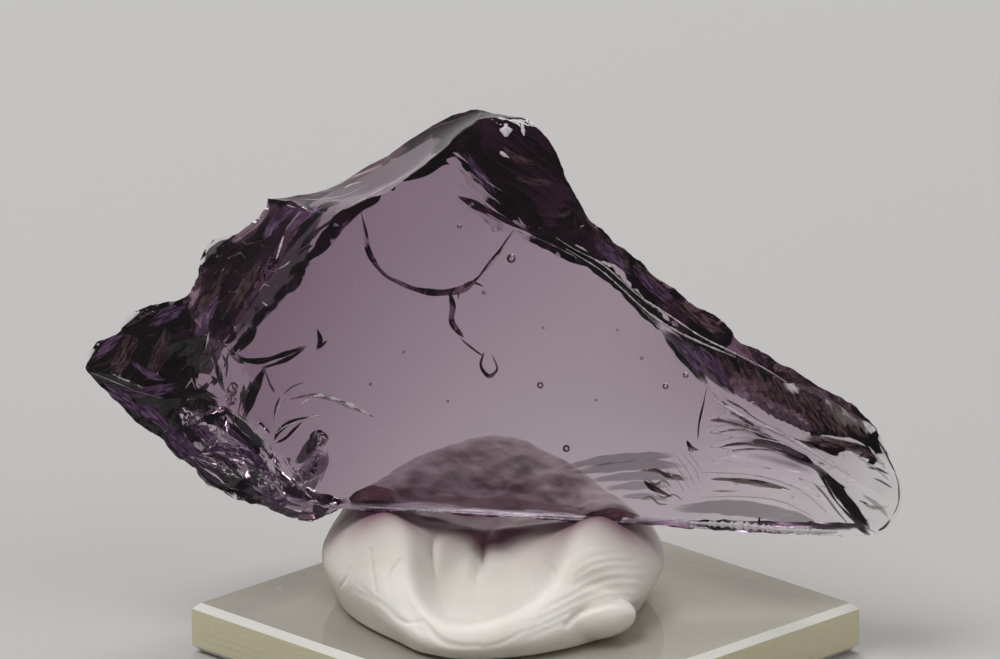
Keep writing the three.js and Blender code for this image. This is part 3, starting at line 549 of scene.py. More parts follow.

# torn skin as strips just over the face, partly frost catching the lamps and partly painted dark brown shade,
# laid out in the same way
hazesAndShade = [
    (2.4, 0.6, -0.04, [(716, 350), (726, 372), (738, 396)]),
    (2.6, 0.65, -0.04, [(742, 362), (754, 384), (768, 408)]),
    (2.6, 0.7, -0.04, [(768, 374), (780, 396), (794, 420)]),
    (2.6, 0.75, -0.04, [(795, 386), (808, 408), (822, 432)]),
    (2.4, 0.8, -0.04, [(822, 398), (834, 418), (846, 438)]),
    (1.8, 0.8, -0.04, [(845, 410), (855, 424), (866, 440)]),
    (1.4, 0.9, -0.04, [(802, 436), (822, 441), (842, 445), (864, 450)]),
    (1.0, 0.8, -0.04, [(846, 446), (862, 452), (878, 460)]),
    (1.6, 0.85, -0.04, [(672, 301), (700, 318), (724, 336)]),
    (0.9, 0.5, -0.04, [(584, 214), (598, 234), (604, 252)]),
    (0.9, 0.5, -0.04, [(606, 238), (622, 254), (630, 272)]),
    (0.9, 0.5, -0.04, [(634, 262), (650, 278), (660, 296)]),
    (0.9, 0.5, -0.04, [(734, 344), (750, 352), (768, 366)]),
    (1.0, 0.55, -0.04, [(770, 362), (796, 378), (822, 394)]),
    (1.0, 0.55, -0.04, [(824, 396), (842, 406), (858, 420)]),
    (2.2, 0.5, -0.04, [(112, 378), (124, 356), (136, 334)]),
    (1.8, 0.5, -0.04, [(148, 380), (160, 354), (170, 326)]),
    (1.4, 0.5, -0.04, [(196, 316), (214, 290), (232, 262)]),
    (1.4, 0.5, -0.04, [(224, 318), (246, 286), (266, 254)]),
    (0.8, 0.5, -0.04, [(500, 146), (520, 160), (546, 166)]),
    (0.8, 0.4, -0.04, [(512, 178), (532, 182), (556, 184)]),
    (0.8, 0.4, -0.04, [(536, 214), (556, 216), (572, 212)]),
]

# painted mauve shade on the face of the glass, where the putty shows low through it, laid out in the same way
mauves = [
    (1.6, 0.9, -0.04, [(350, 503), (366, 494), (384, 493), (403, 503)]),
    (1.0, 0.9, -0.04, [(586, 518), (604, 513), (622, 513), (642, 519)]),
    (1.5, 0.5, -0.04, [(386, 501), (440, 501), (500, 504), (560, 509), (612, 514)]),
]

# painted violet gleams: strips on the face coloured like the light from cracks deeper in, laid out in the
# same way
paintedGleams = [
    (1.4, 0.6, -0.04, [(676, 340), (690, 356), (706, 376)]),
    (1.6, 0.55, -0.04, [(696, 346), (712, 364), (730, 388)]),
    (1.5, 0.5, -0.04, [(590, 236), (610, 254), (632, 274)]),
    (1.5, 0.5, -0.04, [(632, 266), (652, 286), (676, 304)]),
    (1.6, 0.5, -0.04, [(150, 326), (168, 314), (186, 306)]),
    (1.6, 0.5, -0.04, [(196, 340), (206, 316), (220, 292)]),
    (1.4, 0.5, -0.04, [(116, 388), (150, 392), (182, 384)]),
    (2.2, 0.5, -0.04, [(160, 420), (180, 442), (204, 466), (228, 486)]),
    (2.2, 0.5, -0.04, [(188, 414), (208, 438), (230, 458), (254, 480)]),
    (1.8, 0.5, -0.04, [(214, 420), (236, 440), (258, 462), (280, 484)]),
    (1.8, 0.5, -0.04, [(240, 484), (266, 494), (290, 502), (314, 506)]),
    (1.5, 0.6, -0.04, [(298, 486), (308, 466), (318, 446)]),
    (1.3, 0.5, -0.04, [(318, 484), (323, 466), (326, 448)]),
    (1.3, 0.5, -0.04, [(262, 242), (276, 222), (296, 206)]),
    (1.1, 0.5, -0.04, [(286, 234), (304, 216), (324, 206)]),
    (1.2, 0.5, -0.04, [(96, 356), (110, 344), (124, 332)]),
    (1.6, 0.75, -0.04, [(104, 384), (124, 400), (144, 416)]),
    (1.6, 0.85, -0.04, [(138, 404), (154, 416), (172, 430)]),
    (1.0, 0.5, -0.04, [(132, 362), (148, 374), (166, 380)]),
    (1.0, 0.5, -0.04, [(462, 150), (478, 172), (496, 196)]),
]

bubbles = [  # pixel, radius in mm, depth below the face in mm
    ((511, 259), 0.5, 4), ((484, 293), 0.22, 3), ((540, 385), 0.36, 3.5), ((566, 448), 0.4, 3.5),
    ((460, 227), 0.25, 3), ((685, 375), 0.3, 2.5), ((665, 386), 0.34, 2.5), ((641, 358), 0.2, 2.5),
    ((533, 237), 0.28, 1.5), ((690, 449), 0.3, 2), ((404, 352), 0.16, 3), ((371, 384), 0.16, 3),
    ((617, 330), 0.14, 2), ((543, 328), 0.13, 4), ((448, 401), 0.14, 3), ((596, 400), 0.14, 3),
]


def walkPath(pixels, spacing, least):  # along a path, how far gone, where and which way
    path = [fromPicture(*p) for p in pixels]
    reach = sum((b - a).length for a, b in zip(path, path[1:]))
    steps = max(int(reach / spacing), least)
    walk = []
    for i in range(steps + 1):
        share = i / steps
        heading = curvePoint(path, min(share + 0.02, 1)) - curvePoint(path, max(share - 0.02, 0))
        walk.append((share, curvePoint(path, share), heading))
    return path[0], reach, walk


def joinShells(shells):  # many lists of points and faces as one
    points, faces = [], []
    for shellPoints, shellFaces in shells:
        shift = len(points)
        faces += [tuple(i + shift for i in face) for face in shellFaces]
        points += [tuple(p) for p in shellPoints]
    return points, faces


def ribbon(width, slant, under, pixels, frontDepth):  # a thin hollow leaf along the path
    start, reach, walk = walkPath(pixels, 0.3, 6)
    points, faces = [], []
    for share, spot, heading in walk:
        along = heading.normalized()
        wobble = math.sin(share * reach * 1.3 + start.x) * math.sin(share * reach * 0.57 + start.y)
        side = Vector((-along.y, 0, along.x))
        turned = math.radians(slant) * (1 + 0.04 * wobble)
        leaf = side * math.cos(turned) + Vector((0, math.sin(turned), 0))
        normal = leaf.cross(Vector((along.x, 0, along.y)))
        half = width / 2 * taper(share, 0.004, 0.6) * (1 + 0.35 * wobble)
        middle = Vector((spot.x, frontDepth(spot) + under, spot.y))
        thin = min(0.03, half * 0.3)
        points += [middle + leaf * half, middle + normal * thin, middle - leaf * half, middle - normal * thin]
    last = len(points) - 4
    for first in range(0, last, 4):
        for k in range(4):
            a, b = first + k, first + (k + 1) % 4
            faces += [(a, b, b + 4), (a, b + 4, a + 4)]
    faces += [(0, 2, 1), (0, 3, 2), (last, last + 1, last + 2), (last, last + 2, last + 3)]
    return points, faces


def crumple(middle, reach, turn, slant, under, rough, frontDepth):  # a thin hollow with two broken skins
    spot = fromPicture(*middle)
    centre = Vector((spot.x, frontDepth(spot) + under, spot.y))
    turn, slant = math.radians(turn), math.radians(slant)
    along = Vector((math.cos(turn), 0, math.sin(turn)))
    side = Vector((-math.sin(turn), 0, math.cos(turn)))
    leaf = side * math.cos(slant) + Vector((0, math.sin(slant), 0))
    normal = leaf.cross(along)
    length, width = reach[0] * pixelSize / mm, reach[1] * pixelSize / mm / math.cos(slant)
    rings, sides = 6, 18
    points, faces = [], []
    for face in (1, -1):
        for ring in range(rings):
            for k in range(sides):
                angle = 2 * math.pi * (k + 0.5 * (ring % 2)) / sides
                uneven = 1 + 0.25 * scatter(k, ring, middle[0])
                place = centre + along * length * ring / rings * math.cos(angle) * uneven
                place += leaf * width * ring / rings * math.sin(angle) * uneven
                points.append(place + normal * (rough * scatter(middle[0], k, ring * 3.1) + 0.02 * face))
    rim = len(points)
    for k in range(sides):
        angle = 2 * math.pi * k / sides
        uneven = 1 + 0.5 * scatter(k, middle[1], 7)
        points.append(centre + (along * length * math.cos(angle) + leaf * width * math.sin(angle)) * uneven)
    for skin in (0, 1):
        for ring in range(1, rings):
            start = (skin * rings + ring) * sides
            for k in range(sides):
                a, b = start + k, start + (k + 1) % sides
                c, d = (a + sides, b + sides) if ring < rings - 1 else (rim + k, rim + (k + 1) % sides)
                pair = [(a, b, c), (b, d, c)]
                faces += pair if skin else [(x, z, y) for x, y, z in pair]
        first = (skin * rings + 1) * sides
        for k in range(1, sides - 1):
            second, third = (first + k + 1, first + k) if skin else (first + k, first + k + 1)
            faces.append((first, second, third))
    return points, faces


def veil(width, strength, under, pixels, frontDepth):  # an open strip that fades towards its edges
    start, reach, walk = walkPath(pixels, 0.25, 8)
    across = 8
    points, faces, marks, inside = [], [], [], []
    for share, spot, heading in walk:
        side = Vector((-heading.y, heading.x)).normalized()
        fade = taper(share, 0.02, 0.5)
        wobble = math.sin(share * reach * 1.7 + start.x) * math.sin(share * reach * 0.7 + start.y)
        half = width / 2 * fade * (1 + 0.3 * min(1, 0.7 / width) * wobble)
        for k in range(across + 1):
            u = 2 * k / across - 1
            place = spot + side * half * u
            depth = frontDepth(place)
            inside.append(depth is not None)
            points.append(Vector((place.x, (depth or 0) + under, place.y)))
            streak = (share * reach * 0.3 + start.x, half * u * 1.5 + start.y, under)
            marks.append((min(1, 2.4 * (1 - u * u) ** 0.5) * fade, strength, streak))
    for i in range(len(walk) - 1):
        for k in range(across):
            a = i * (across + 1) + k
            face = (a, a + 1, a + across + 2, a + across + 1)
            if all(inside[n] for n in face):
                faces.append(face)
    return points, faces, marks


def buildVeils(name, strips, frontDepth):
    shells, marks = [], []
    for i, (width, strength, under, pixels) in enumerate(strips):
        layer = under - 0.003 * i  # no two strips in one plane
        *shell, stripMarks = veil(width, strength, layer, pixels, frontDepth)
        shells.append(shell)
        marks += stripMarks
    points, faces = joinShells(shells)
    used = sorted({i for face in faces for i in face})
    place = {old: new for new, old in enumerate(used)}
    obj = meshObject(name, [points[i] for i in used], [[place[i] for i in face] for face in faces])
    cover, strength, streaks = (list(column) for column in zip(*(marks[i] for i in used)))
    writeAttribute(obj.data, "cover", cover)
    writeAttribute(obj.data, "strength", strength)
    writeAttribute(obj.data, "streaks", [c for streak in streaks for c in streak], "FLOAT_VECTOR")
    obj.data.transform(seatMatrix())
    return obj


def bubble(pixel, radius, depth, frontDepth):
    spot = fromPicture(*pixel)
    middle = Vector((spot.x, frontDepth(spot) + depth, spot.y))
    sides, rings = 24, 14
    points = [middle + Vector((0, 0, radius))]
    for i in range(1, rings):
        polar = math.pi * i / rings
        for k in range(sides):
            turn = 2 * math.pi * k / sides
            flat = math.sin(polar)
            way = Vector((flat * math.cos(turn), flat * math.sin(turn), math.cos(polar)))
            points.append(middle + radius * way)
    points.append(middle - Vector((0, 0, radius)))
    faces = []
    for k in range(sides):
        following = (k + 1) % sides
        faces.append((0, 1 + following, 1 + k))
        for i in range(rings - 2):
            a, b = 1 + i * sides + k, 1 + i * sides + following
            faces += [(a, b, b + sides), (a, b + sides, a + sides)]
        last = 1 + (rings - 2) * sides
        faces.append((len(points) - 1, last + k, last + following))
    return points, faces


def facingInward(points, faces):  # turns a small closed shell so that its faces look at its middle
    volume = sum(points[a].dot(points[b].cross(points[c])) for a, b, c in faces)
    return faces if volume < 0 else [(a, c, b) for a, b, c in faces]


# pale chipped lines along the sharp ridges of the front, partly painted highlights of those ridges and of the
# knob: width in mm, then pixels of the finished picture
paleChipsAndGlints = [
    (0.34, [(314, 397), (320, 395), (326, 396)]),
    (0.39, [(330, 397), (336, 399), (342, 400)]),
    (0.45, [(346, 402), (352, 405), (358, 408)]),
    (0.34, [(360, 409), (365, 412), (370, 415)]),
    (0.25, [(302, 404), (306, 401), (311, 399)]),
    (0.2, [(556, 238), (575, 250), (600, 263), (640, 297), (664, 312), (700, 336), (730, 351), (760, 366),
           (786, 382)]),
    (0.28, [(566, 249), (600, 270), (625, 292), (655, 318), (680, 333), (706, 345), (735, 357)]),
    (0.45, [(712, 398), (730, 409), (760, 424), (776, 431), (800, 444), (822, 458), (848, 474)]),
    (0.2, [(352, 205), (380, 190), (404, 177), (440, 151)]),
    (0.14, [(300, 199), (322, 199), (345, 195), (368, 184)]),
    (0.4, [(344, 188), (352, 184), (361, 182)]),
    (0.09, [(92, 373), (110, 380), (134, 390)]),
    (0.08, [(128, 389), (146, 394), (164, 398)]),
    (0.1, [(186, 388), (192, 381), (196, 390)]),
    (0.16, [(229, 410), (245, 421), (259, 434), (273, 451)]),
    (0.3, [(284, 236), (281, 246), (277, 259)]),
    (0.2, [(273, 228), (270, 236)]),
    (0.16, [(291, 261), (285, 266), (279, 269)]),
    (0.14, [(301, 211), (293, 221), (286, 230)]),
    (0.2, [(263, 302), (268, 306)]),
    (0.14, [(287, 205), (296, 208)]),
    (0.3, [(218, 436), (232, 441), (246, 446)]),
    (0.16, [(277, 433), (286, 426), (297, 422)]),
    (0.16, [(309, 417), (322, 415)]),
    (0.14, [(311, 396), (322, 395), (334, 398)]),
    (0.14, [(338, 401), (348, 405), (357, 411)]),
    (0.2, [(206, 349), (208, 341), (209, 333)]),
    (0.12, [(283, 428), (276, 420), (279, 408), (286, 398)]),
    (0.1, [(664, 466), (670, 474), (678, 482), (684, 492)]),
    (0.08, [(670, 460), (677, 468), (684, 478), (689, 489)]),
    (0.1, [(675, 455), (683, 464), (689, 474), (694, 486)]),
    (0.08, [(682, 453), (688, 461), (695, 470), (699, 481)]),
    (0.1, [(688, 452), (694, 460), (699, 468)]),
    (0.08, [(658, 474), (663, 482), (669, 491)]),
    # the next three: painted highlights where the knob would mirror a small softbox
    (1.1, [(506, 124), (506, 131), (506, 137)]),
    (0.5, [(522, 124), (523, 130), (524, 136)]),
    (0.4, [(500, 152), (504, 155), (509, 158)]),
    (0.12, [(708, 426), (726, 425), (744, 428), (766, 436), (790, 444)]),
    (0.12, [(715, 440), (740, 437), (765, 439), (790, 446), (812, 457)]),
    (0.12, [(700, 472), (735, 473), (770, 478), (800, 490), (826, 512)]),
    (0.1, [(700, 497), (740, 496), (780, 501), (812, 516)]),
    (0.3, [(868, 446), (876, 457), (884, 468)]),
    (0.8, [(690, 522), (740, 525), (790, 530), (836, 531)]),
    (0.2, [(344, 506), (400, 508), (480, 513), (560, 518), (636, 522)]),
    (0.16, [(850, 452), (864, 461), (878, 471), (888, 480)]),
]


def paleStrip(width, pixels, skin):  # a low roof of pale chipped glass lying on the face, also carrying painted highlights
    points, faces = [], []
    for share, spot, heading in walkPath(pixels, 0.25, 5)[2]:
        hit, normal = lookIn(skin, spot)[:2]
        side = normal.cross(Vector((heading.x, 0, heading.y))).normalized()
        ragged = 1 + 0.9 * scatter(spot.x, spot.y, width)
        half = width / 2 * ragged * taper(share, 0.03, 0.4)
        points += [hit + side * half - normal * 0.02, hit + normal * half * 0.35,
                   hit - side * half - normal * 0.02]
    last = len(points) - 3
    for first in range(0, last, 3):
        for k in range(3):
            a, b = first + k, first + (k + 1) % 3
            faces.append((a, b, b + 3, a + 3))
    faces += [(0, 2, 1), (last, last + 1, last + 2)]
    return points, faces


def buildPaleLines(skin):
    shells = [paleStrip(width, pixels, skin) for width, pixels in paleChipsAndGlints]
    obj = meshObject("chippedLinesAndGlints", *joinShells(shells), smooth=False)
    obj.data.transform(seatMatrix())
    return obj


def seatMatrix():  # from the shard's own frame to the part's
    lean = Matrix.Translation((0, 0, plateTop)) @ Matrix.Rotation(-leanAngle, 4, "X")
    return lean @ Matrix.Translation((0, -crystal["forwardShift"] * mm, 0)) @ Matrix.Scale(mm, 4)


def lookIn(skin, spot):  # where the line of sight through a spot meets the shard
    return skin.ray_cast(Vector((spot.x, -30, spot.y)), Vector((0, 1, 0)))


def buildCrystal():
    points, triangles, owners = buildCage()
    for _ in range(crystal["refinements"]):
        points, triangles, owners = refineCage(points, triangles, owners)
    points, depth, facetOf, creaseEdges = relaxFacets(points, triangles, owners)
    skin = BVHTree.FromPolygons(points.tolist(), triangles.tolist())

    def frontDepth(spot):
        hit = lookIn(skin, spot)[0]
        return hit and hit.y

    shells = [ribbon(*stroke, frontDepth) for stroke in innerFolds]
    shells += [crumple(**spot, frontDepth=frontDepth) for spot in crumples]
    flatCount = sum(len(faces) for _, faces in shells)
    shells += [bubble(*settings, frontDepth) for settings in bubbles]
    hollows = [(spots, facingInward(spots, faces)) for spots, faces in shells]
    body = (points.tolist(), triangles.tolist())
    obj = meshObject("andaraCrystal", *joinShells([body, *hollows]))
    for face in obj.data.polygons[len(triangles):len(triangles) + flatCount]:
        face.use_smooth = False
    creases = {(min(a, b), max(a, b)) for a, b in creaseEdges.tolist()}
    for edge in obj.data.edges:
        a, b = edge.vertices
        edge.use_edge_sharp = (min(a, b), max(a, b)) in creases
    writeReliefs(obj.data, points, depth, facetOf)
    obj.data.transform(seatMatrix())
    # painted shade veils, torn-skin hazes with painted shade, painted violet gleams and painted mauve shade
    strips = {"paintedShadeVeils": darkShadeVeils, "hackleHazeAndShade": hazesAndShade, "paintedVioletGleams": paintedGleams, "paintedMauveShade": mauves}
    return [obj, buildPaleLines(skin), *(buildVeils(*item, frontDepth) for item in strips.items())]


def writeReliefs(mesh, points, depth, facetOf):  # how strongly each kind of relief shows at each point
    for name in ("hackle", "stria", "ripple", "rings", "shards", "frost"):
        strength = np.array([facet.get(name, 0) for facet in facets] + [0.0])
        values = np.zeros(len(mesh.vertices))
        values[:len(points)] = strength[facetOf] * np.clip(depth, 0, 1) ** 0.4
        writeAttribute(mesh, name, values)
    writeAttribute(mesh, "place", pointArray(mesh, "co").ravel(), "FLOAT_VECTOR")


def newMaterial(name):
    material = bpy.data.materials.new(name)
    material.use_nodes = True
    nodes = material.node_tree.nodes
    return material, nodes, material.node_tree.links, nodes["Principled BSDF"]


def newGroup(name, inputs, output):  # inputs are name, kind and starting value
    group = bpy.data.node_groups.new(name, "ShaderNodeTree")
    for label, kind, value in inputs:
        socket = group.interface.new_socket(label, in_out="INPUT", socket_type=kind)
        if value is not None:
            socket.default_value = value
    group.interface.new_socket(output, in_out="OUTPUT", socket_type="NodeSocketFloat")
    return group, group.nodes.new("NodeGroupInput"), group.nodes.new("NodeGroupOutput")


def mathNode(tree, operation, *values, held=False):  # each value is a socket or a plain number
    node = tree.nodes.new("ShaderNodeMath")
    node.operation = operation
    node.use_clamp = held
    for socket, value in zip(node.inputs, values):
        if isinstance(value, (int, float)):
            socket.default_value = value
        else:
            tree.links.new(value, socket)
    return node.outputs[0]


def rangeNode(tree, value, ends):
    node = tree.nodes.new("ShaderNodeMapRange")
    tree.links.new(value, node.inputs["Value"])
    for name, end in ends.items():
        node.inputs[name].default_value = end
    return node.outputs[0]


def mixColours(material, factor, first, second):  # each colour is a socket or three numbers
    mix = material.node_tree.nodes.new("ShaderNodeMix")
    mix.data_type = "RGBA"
    material.node_tree.links.new(factor, mix.inputs["Factor"])
    for name, colour in (("A", first), ("B", second)):
        if isinstance(colour, tuple):
            mix.inputs[name].default_value = (*colour, 1)
        else:
            material.node_tree.links.new(colour, mix.inputs[name])
    return mix.outputs["Result"]


def grainGroup():  # soft irregular patches
    inputs = [("Place", "NodeSocketVector", None), ("Scale", "NodeSocketFloat", 1.0),
              ("Detail", "NodeSocketFloat", 3.0), ("Low", "NodeSocketFloat", 0.4),
              ("High", "NodeSocketFloat", 0.6)]
    group, start, end = newGroup("grain", inputs, "Mask")
    texture = group.nodes.new("ShaderNodeTexNoise")
    spread = group.nodes.new("ShaderNodeMapRange")
    group.links.new(start.outputs["Place"], texture.inputs["Vector"])
    group.links.new(start.outputs["Scale"], texture.inputs["Scale"])
    group.links.new(start.outputs["Detail"], texture.inputs["Detail"])
    group.links.new(texture.outputs[0], spread.inputs["Value"])
    group.links.new(start.outputs["Low"], spread.inputs["From Min"])
    group.links.new(start.outputs["High"], spread.inputs["From Max"])
    group.links.new(spread.outputs[0], end.inputs["Mask"])
    return group


def linesGroup():  # wavering parallel lines; Along is the distance across them
    inputs = [("Along", "NodeSocketFloat", 0.0), ("Place", "NodeSocketVector", None),
              ("Spacing", "NodeSocketFloat", 1.0), ("Wobble", "NodeSocketFloat", 1.0),
              ("Wander", "NodeSocketFloat", 0.3), ("Sharpness", "NodeSocketFloat", 1.0)]
    group, start, end = newGroup("lines", inputs, "Height")
    texture = group.nodes.new("ShaderNodeTexNoise")
    group.links.new(start.outputs["Place"], texture.inputs["Vector"])
    group.links.new(start.outputs["Wander"], texture.inputs["Scale"])
    texture.inputs["Detail"].default_value = 4
    turns = mathNode(group, "DIVIDE", start.outputs["Along"], start.outputs["Spacing"])
    shift = mathNode(group, "MULTIPLY", texture.outputs[0], start.outputs["Wobble"])
    angle = mathNode(group, "MULTIPLY", mathNode(group, "ADD", turns, shift), 2 * math.pi)
    wave = mathNode(group, "MULTIPLY_ADD", mathNode(group, "SINE", angle), 0.5, 0.5)
    group.links.new(mathNode(group, "POWER", wave, start.outputs["Sharpness"]), end.inputs["Height"])
    return group


def shardsGroup():  # flat cells, each tipped its own way
    inputs = [("Place", "NodeSocketVector", None), ("Spacing", "NodeSocketFloat", 1.0),
              ("Tilt", "NodeSocketFloat", 1.0)]
    group, start, end = newGroup("shards", inputs, "Height")
    size, away, tilt, height = (group.nodes.new("ShaderNodeVectorMath") for _ in range(4))
    cells = group.nodes.new("ShaderNodeTexVoronoi")
    size.operation = "DIVIDE"
    away.operation = tilt.operation = "SUBTRACT"
    height.operation = "DOT_PRODUCT"
    cells.inputs["Scale"].default_value = 1
    tilt.inputs[1].default_value = (0.5, 0.5, 0.5)
    group.links.new(start.outputs["Place"], size.inputs[0])
    group.links.new(start.outputs["Spacing"], size.inputs[1])
    group.links.new(size.outputs[0], cells.inputs["Vector"])
    group.links.new(size.outputs[0], away.inputs[0])
    group.links.new(cells.outputs["Position"], away.inputs[1])
    group.links.new(cells.outputs["Color"], tilt.inputs[0])
    group.links.new(away.outputs[0], height.inputs[0])
    group.links.new(tilt.outputs[0], height.inputs[1])
    scaled = mathNode(group, "MULTIPLY", height.outputs["Value"], start.outputs["Spacing"])
    group.links.new(mathNode(group, "MULTIPLY", scaled, start.outputs["Tilt"]), end.inputs["Height"])
    return group


def useGroup(material, group, **values):  # places a group; each value is a socket or a plain number
    node = material.node_tree.nodes.new("ShaderNodeGroup")
    node.node_tree = group
    for name, value in values.items():
        if isinstance(value, (int, float)):
            node.inputs[name].default_value = value
        else:
            material.node_tree.links.new(value, node.inputs[name])
    return node.outputs[0]


def attribute(material, name):
    node = material.node_tree.nodes.new("ShaderNodeAttribute")
    node.attribute_name = name
    return node


def compareTo(material, operation, place, other):  # DOT_PRODUCT or DISTANCE
    node = material.node_tree.nodes.new("ShaderNodeVectorMath")
    node.operation = operation
    node.inputs[1].default_value = other
    material.node_tree.links.new(place, node.inputs[0])
    return node.outputs["Value"]


def addBump(material, height, strength, distance):
    tree = material.node_tree
    bump = tree.nodes.new("ShaderNodeBump")
    bump.inputs["Strength"].default_value = strength
    bump.inputs["Distance"].default_value = distance
    tree.links.new(height, bump.inputs["Height"])
    tree.links.new(bump.outputs[0], tree.nodes["Principled BSDF"].inputs["Normal"])


def absorbInside(material, perMetre, density):
    absorb = material.node_tree.nodes.new("ShaderNodeVolumeAbsorption")
    absorb.inputs["Density"].default_value = density
    absorb.inputs["Color"].default_value = (*(1 - share / density for share in perMetre), 1)
    output = material.node_tree.nodes["Material Output"]
    material.node_tree.links.new(absorb.outputs["Volume"], output.inputs["Volume"])


grain = grainGroup()
lines = linesGroup()
shards = shardsGroup()

# lines in the shard's skin: straight ones run across a direction, curved ones go round a centre in mm
glassRelief = {
    "hackle": {"across": (0.77, 0, -0.64), "spacing": 1.3, "wobble": 2.4, "wander": 0.2, "sharp": 1.3,
               "height": 0.42},
    "stria": {"across": (0.87, 0.1, 0.5), "spacing": 0.45, "wobble": 3.5, "wander": 0.2, "sharp": 1,
              "height": 0.035},
    "ripple": {"centre": (23.9, 0, 1.4), "spacing": 1.5, "wobble": 1, "wander": 0.06, "sharp": 1.5,
               "height": 0.6},
    "rings": {"centre": (-30, 0, 10), "spacing": 1.1, "wobble": 2.4, "wander": 0.12, "sharp": 4,
              "height": 0.22},
}

glassBreaks = {"spacing": 1.6, "tilt": 4.5, "frost": 0.3, "wear": 0.12, "bump": 0.0002}
# finish of the pale strips: frost of chipped edges, also painted highlights
chipAndGlintFinish = {"colour": (0.9, 0.86, 0.89), "clear": 0.45, "ior": 1.3, "leastRough": 0.3, "moreRough": 0.3}


def violetGlass():
    material, _, links, shader = newMaterial("violetGlass")
    shader.inputs["Base Color"].default_value = (1, 1, 1, 1)
    shader.inputs["IOR"].default_value = crystal["ior"]
    shader.inputs["Transmission Weight"].default_value = 1
    absorbInside(material, crystal["absorbPerMetre"], crystal["absorbDensity"])
    tree = material.node_tree
    place = attribute(material, "place").outputs["Vector"]
    total = 0.0
    for kind, relief in glassRelief.items():
        if "across" in relief:
            along = compareTo(material, "DOT_PRODUCT", place, relief["across"])
        else:
            along = compareTo(material, "DISTANCE", place, relief["centre"])
        wave = useGroup(material, lines, Along=along, Place=place, Spacing=relief["spacing"],
                        Wobble=relief["wobble"], Wander=relief["wander"], Sharpness=relief["sharp"])
        amount = mathNode(tree, "MULTIPLY", attribute(material, kind).outputs["Fac"], relief["height"])
        total = mathNode(tree, "ADD", mathNode(tree, "MULTIPLY", wave, amount), total)
    broken = useGroup(material, shards, Place=place, Spacing=glassBreaks["spacing"], Tilt=glassBreaks["tilt"])
    amount = attribute(material, "shards").outputs["Fac"]
    total = mathNode(tree, "ADD", mathNode(tree, "MULTIPLY", broken, amount), total)
    addBump(material, total, 1, glassBreaks["bump"])
    haze = useGroup(material, grain, Place=place, Scale=0.5, Detail=4, Low=0.5, High=0.8)
    worn = mathNode(tree, "MAXIMUM", attribute(material, "hackle").outputs["Fac"],
                    attribute(material, "stria").outputs["Fac"])
    polished = mathNode(tree, "MULTIPLY", mathNode(tree, "MULTIPLY", haze, worn), glassBreaks["wear"])
    frosted = mathNode(tree, "MULTIPLY", attribute(material, "frost").outputs["Fac"], glassBreaks["frost"])
    links.new(mathNode(tree, "MAXIMUM", polished, frosted), shader.inputs["Roughness"])
    return material


def chippedGlassAndGlints():
    # pale frost of chipped edges, also standing in for painted highlights
    material, nodes, links, shader = newMaterial("chippedGlassAndGlints")
    place = nodes.new("ShaderNodeTexCoord").outputs["Object"]
    frost = useGroup(material, grain, Place=place, Scale=1500, Detail=2, Low=0.3, High=0.7)
    shader.inputs["Base Color"].default_value = (*chipAndGlintFinish["colour"], 1)
    shader.inputs["Transmission Weight"].default_value = chipAndGlintFinish["clear"]
    shader.inputs["IOR"].default_value = chipAndGlintFinish["ior"]
    rough = mathNode(material.node_tree, "MULTIPLY_ADD", frost, chipAndGlintFinish["moreRough"], chipAndGlintFinish["leastRough"])
    links.new(rough, shader.inputs["Roughness"])
    addBump(material, frost, 0.5, 0.0001)
    return material


# finishes of the strips: painted shade in the glass, torn skin partly painted shade, painted violet gleams,
# painted mauve shade
veilFinishes = {
    "paintedShadeGlass": {"dark": (0.01, 0.003, 0.008), "light": (0.06, 0.028, 0.048), "fray": 0.5},
    "hackledGlassAndShade": {"dark": (0.028, 0.012, 0.018), "light": (0.14, 0.095, 0.092), "fray": 1.1},
    "paintedVioletGleam": {"dark": (0.045, 0.018, 0.05), "light": (0.2, 0.12, 0.22), "fray": 1.1},
    "mauveShade": {"dark": (0.085, 0.035, 0.052), "light": (0.15, 0.08, 0.1), "fray": 1.1},
}


def veilGlass(name):  # streaks with frayed edges for the strips: painted shade where the glass has parted or looks dark, torn skin with painted dark shade, painted violet gleams and painted mauve shade
    settings = veilFinishes[name]
    material, _, links, shader = newMaterial(name)
    tree = material.node_tree
    place = attribute(material, "streaks").outputs["Vector"]
    fray = useGroup(material, grain, Place=place, Scale=1.6, Detail=6, Low=0.35, High=0.65)
    streak = useGroup(material, grain, Place=place, Scale=3.2, Detail=4, Low=0.4, High=0.68)
    tint = mixColours(material, streak, settings["dark"], settings["light"])
    links.new(tint, shader.inputs["Base Color"])
    shader.inputs["Roughness"].default_value = 0.6
    shader.inputs["Specular IOR Level"].default_value = 0.1
    frayed = mathNode(tree, "MULTIPLY", mathNode(tree, "SUBTRACT", fray, 1), settings["fray"])
    strong = mathNode(tree, "MULTIPLY", attribute(material, "cover").outputs["Fac"], 1.9)
    cover = mathNode(tree, "ADD", strong, frayed, held=True)
    strength = attribute(material, "strength").outputs["Fac"]
    links.new(mathNode(tree, "MULTIPLY", cover, strength), shader.inputs["Alpha"])
    return material


glassPieces = buildCrystal()
glassFinishes = [violetGlass(), chippedGlassAndGlints(), *(veilGlass(name) for name in veilFinishes)]
for piece, finish in zip(glassPieces, glassFinishes):
    piece.data.materials.append(finish)
    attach(piece, "root")
    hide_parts("andara_crystal")
crystalObject = glassPieces[0]
print("crystal built:", len(crystalObject.data.polygons), "triangles")


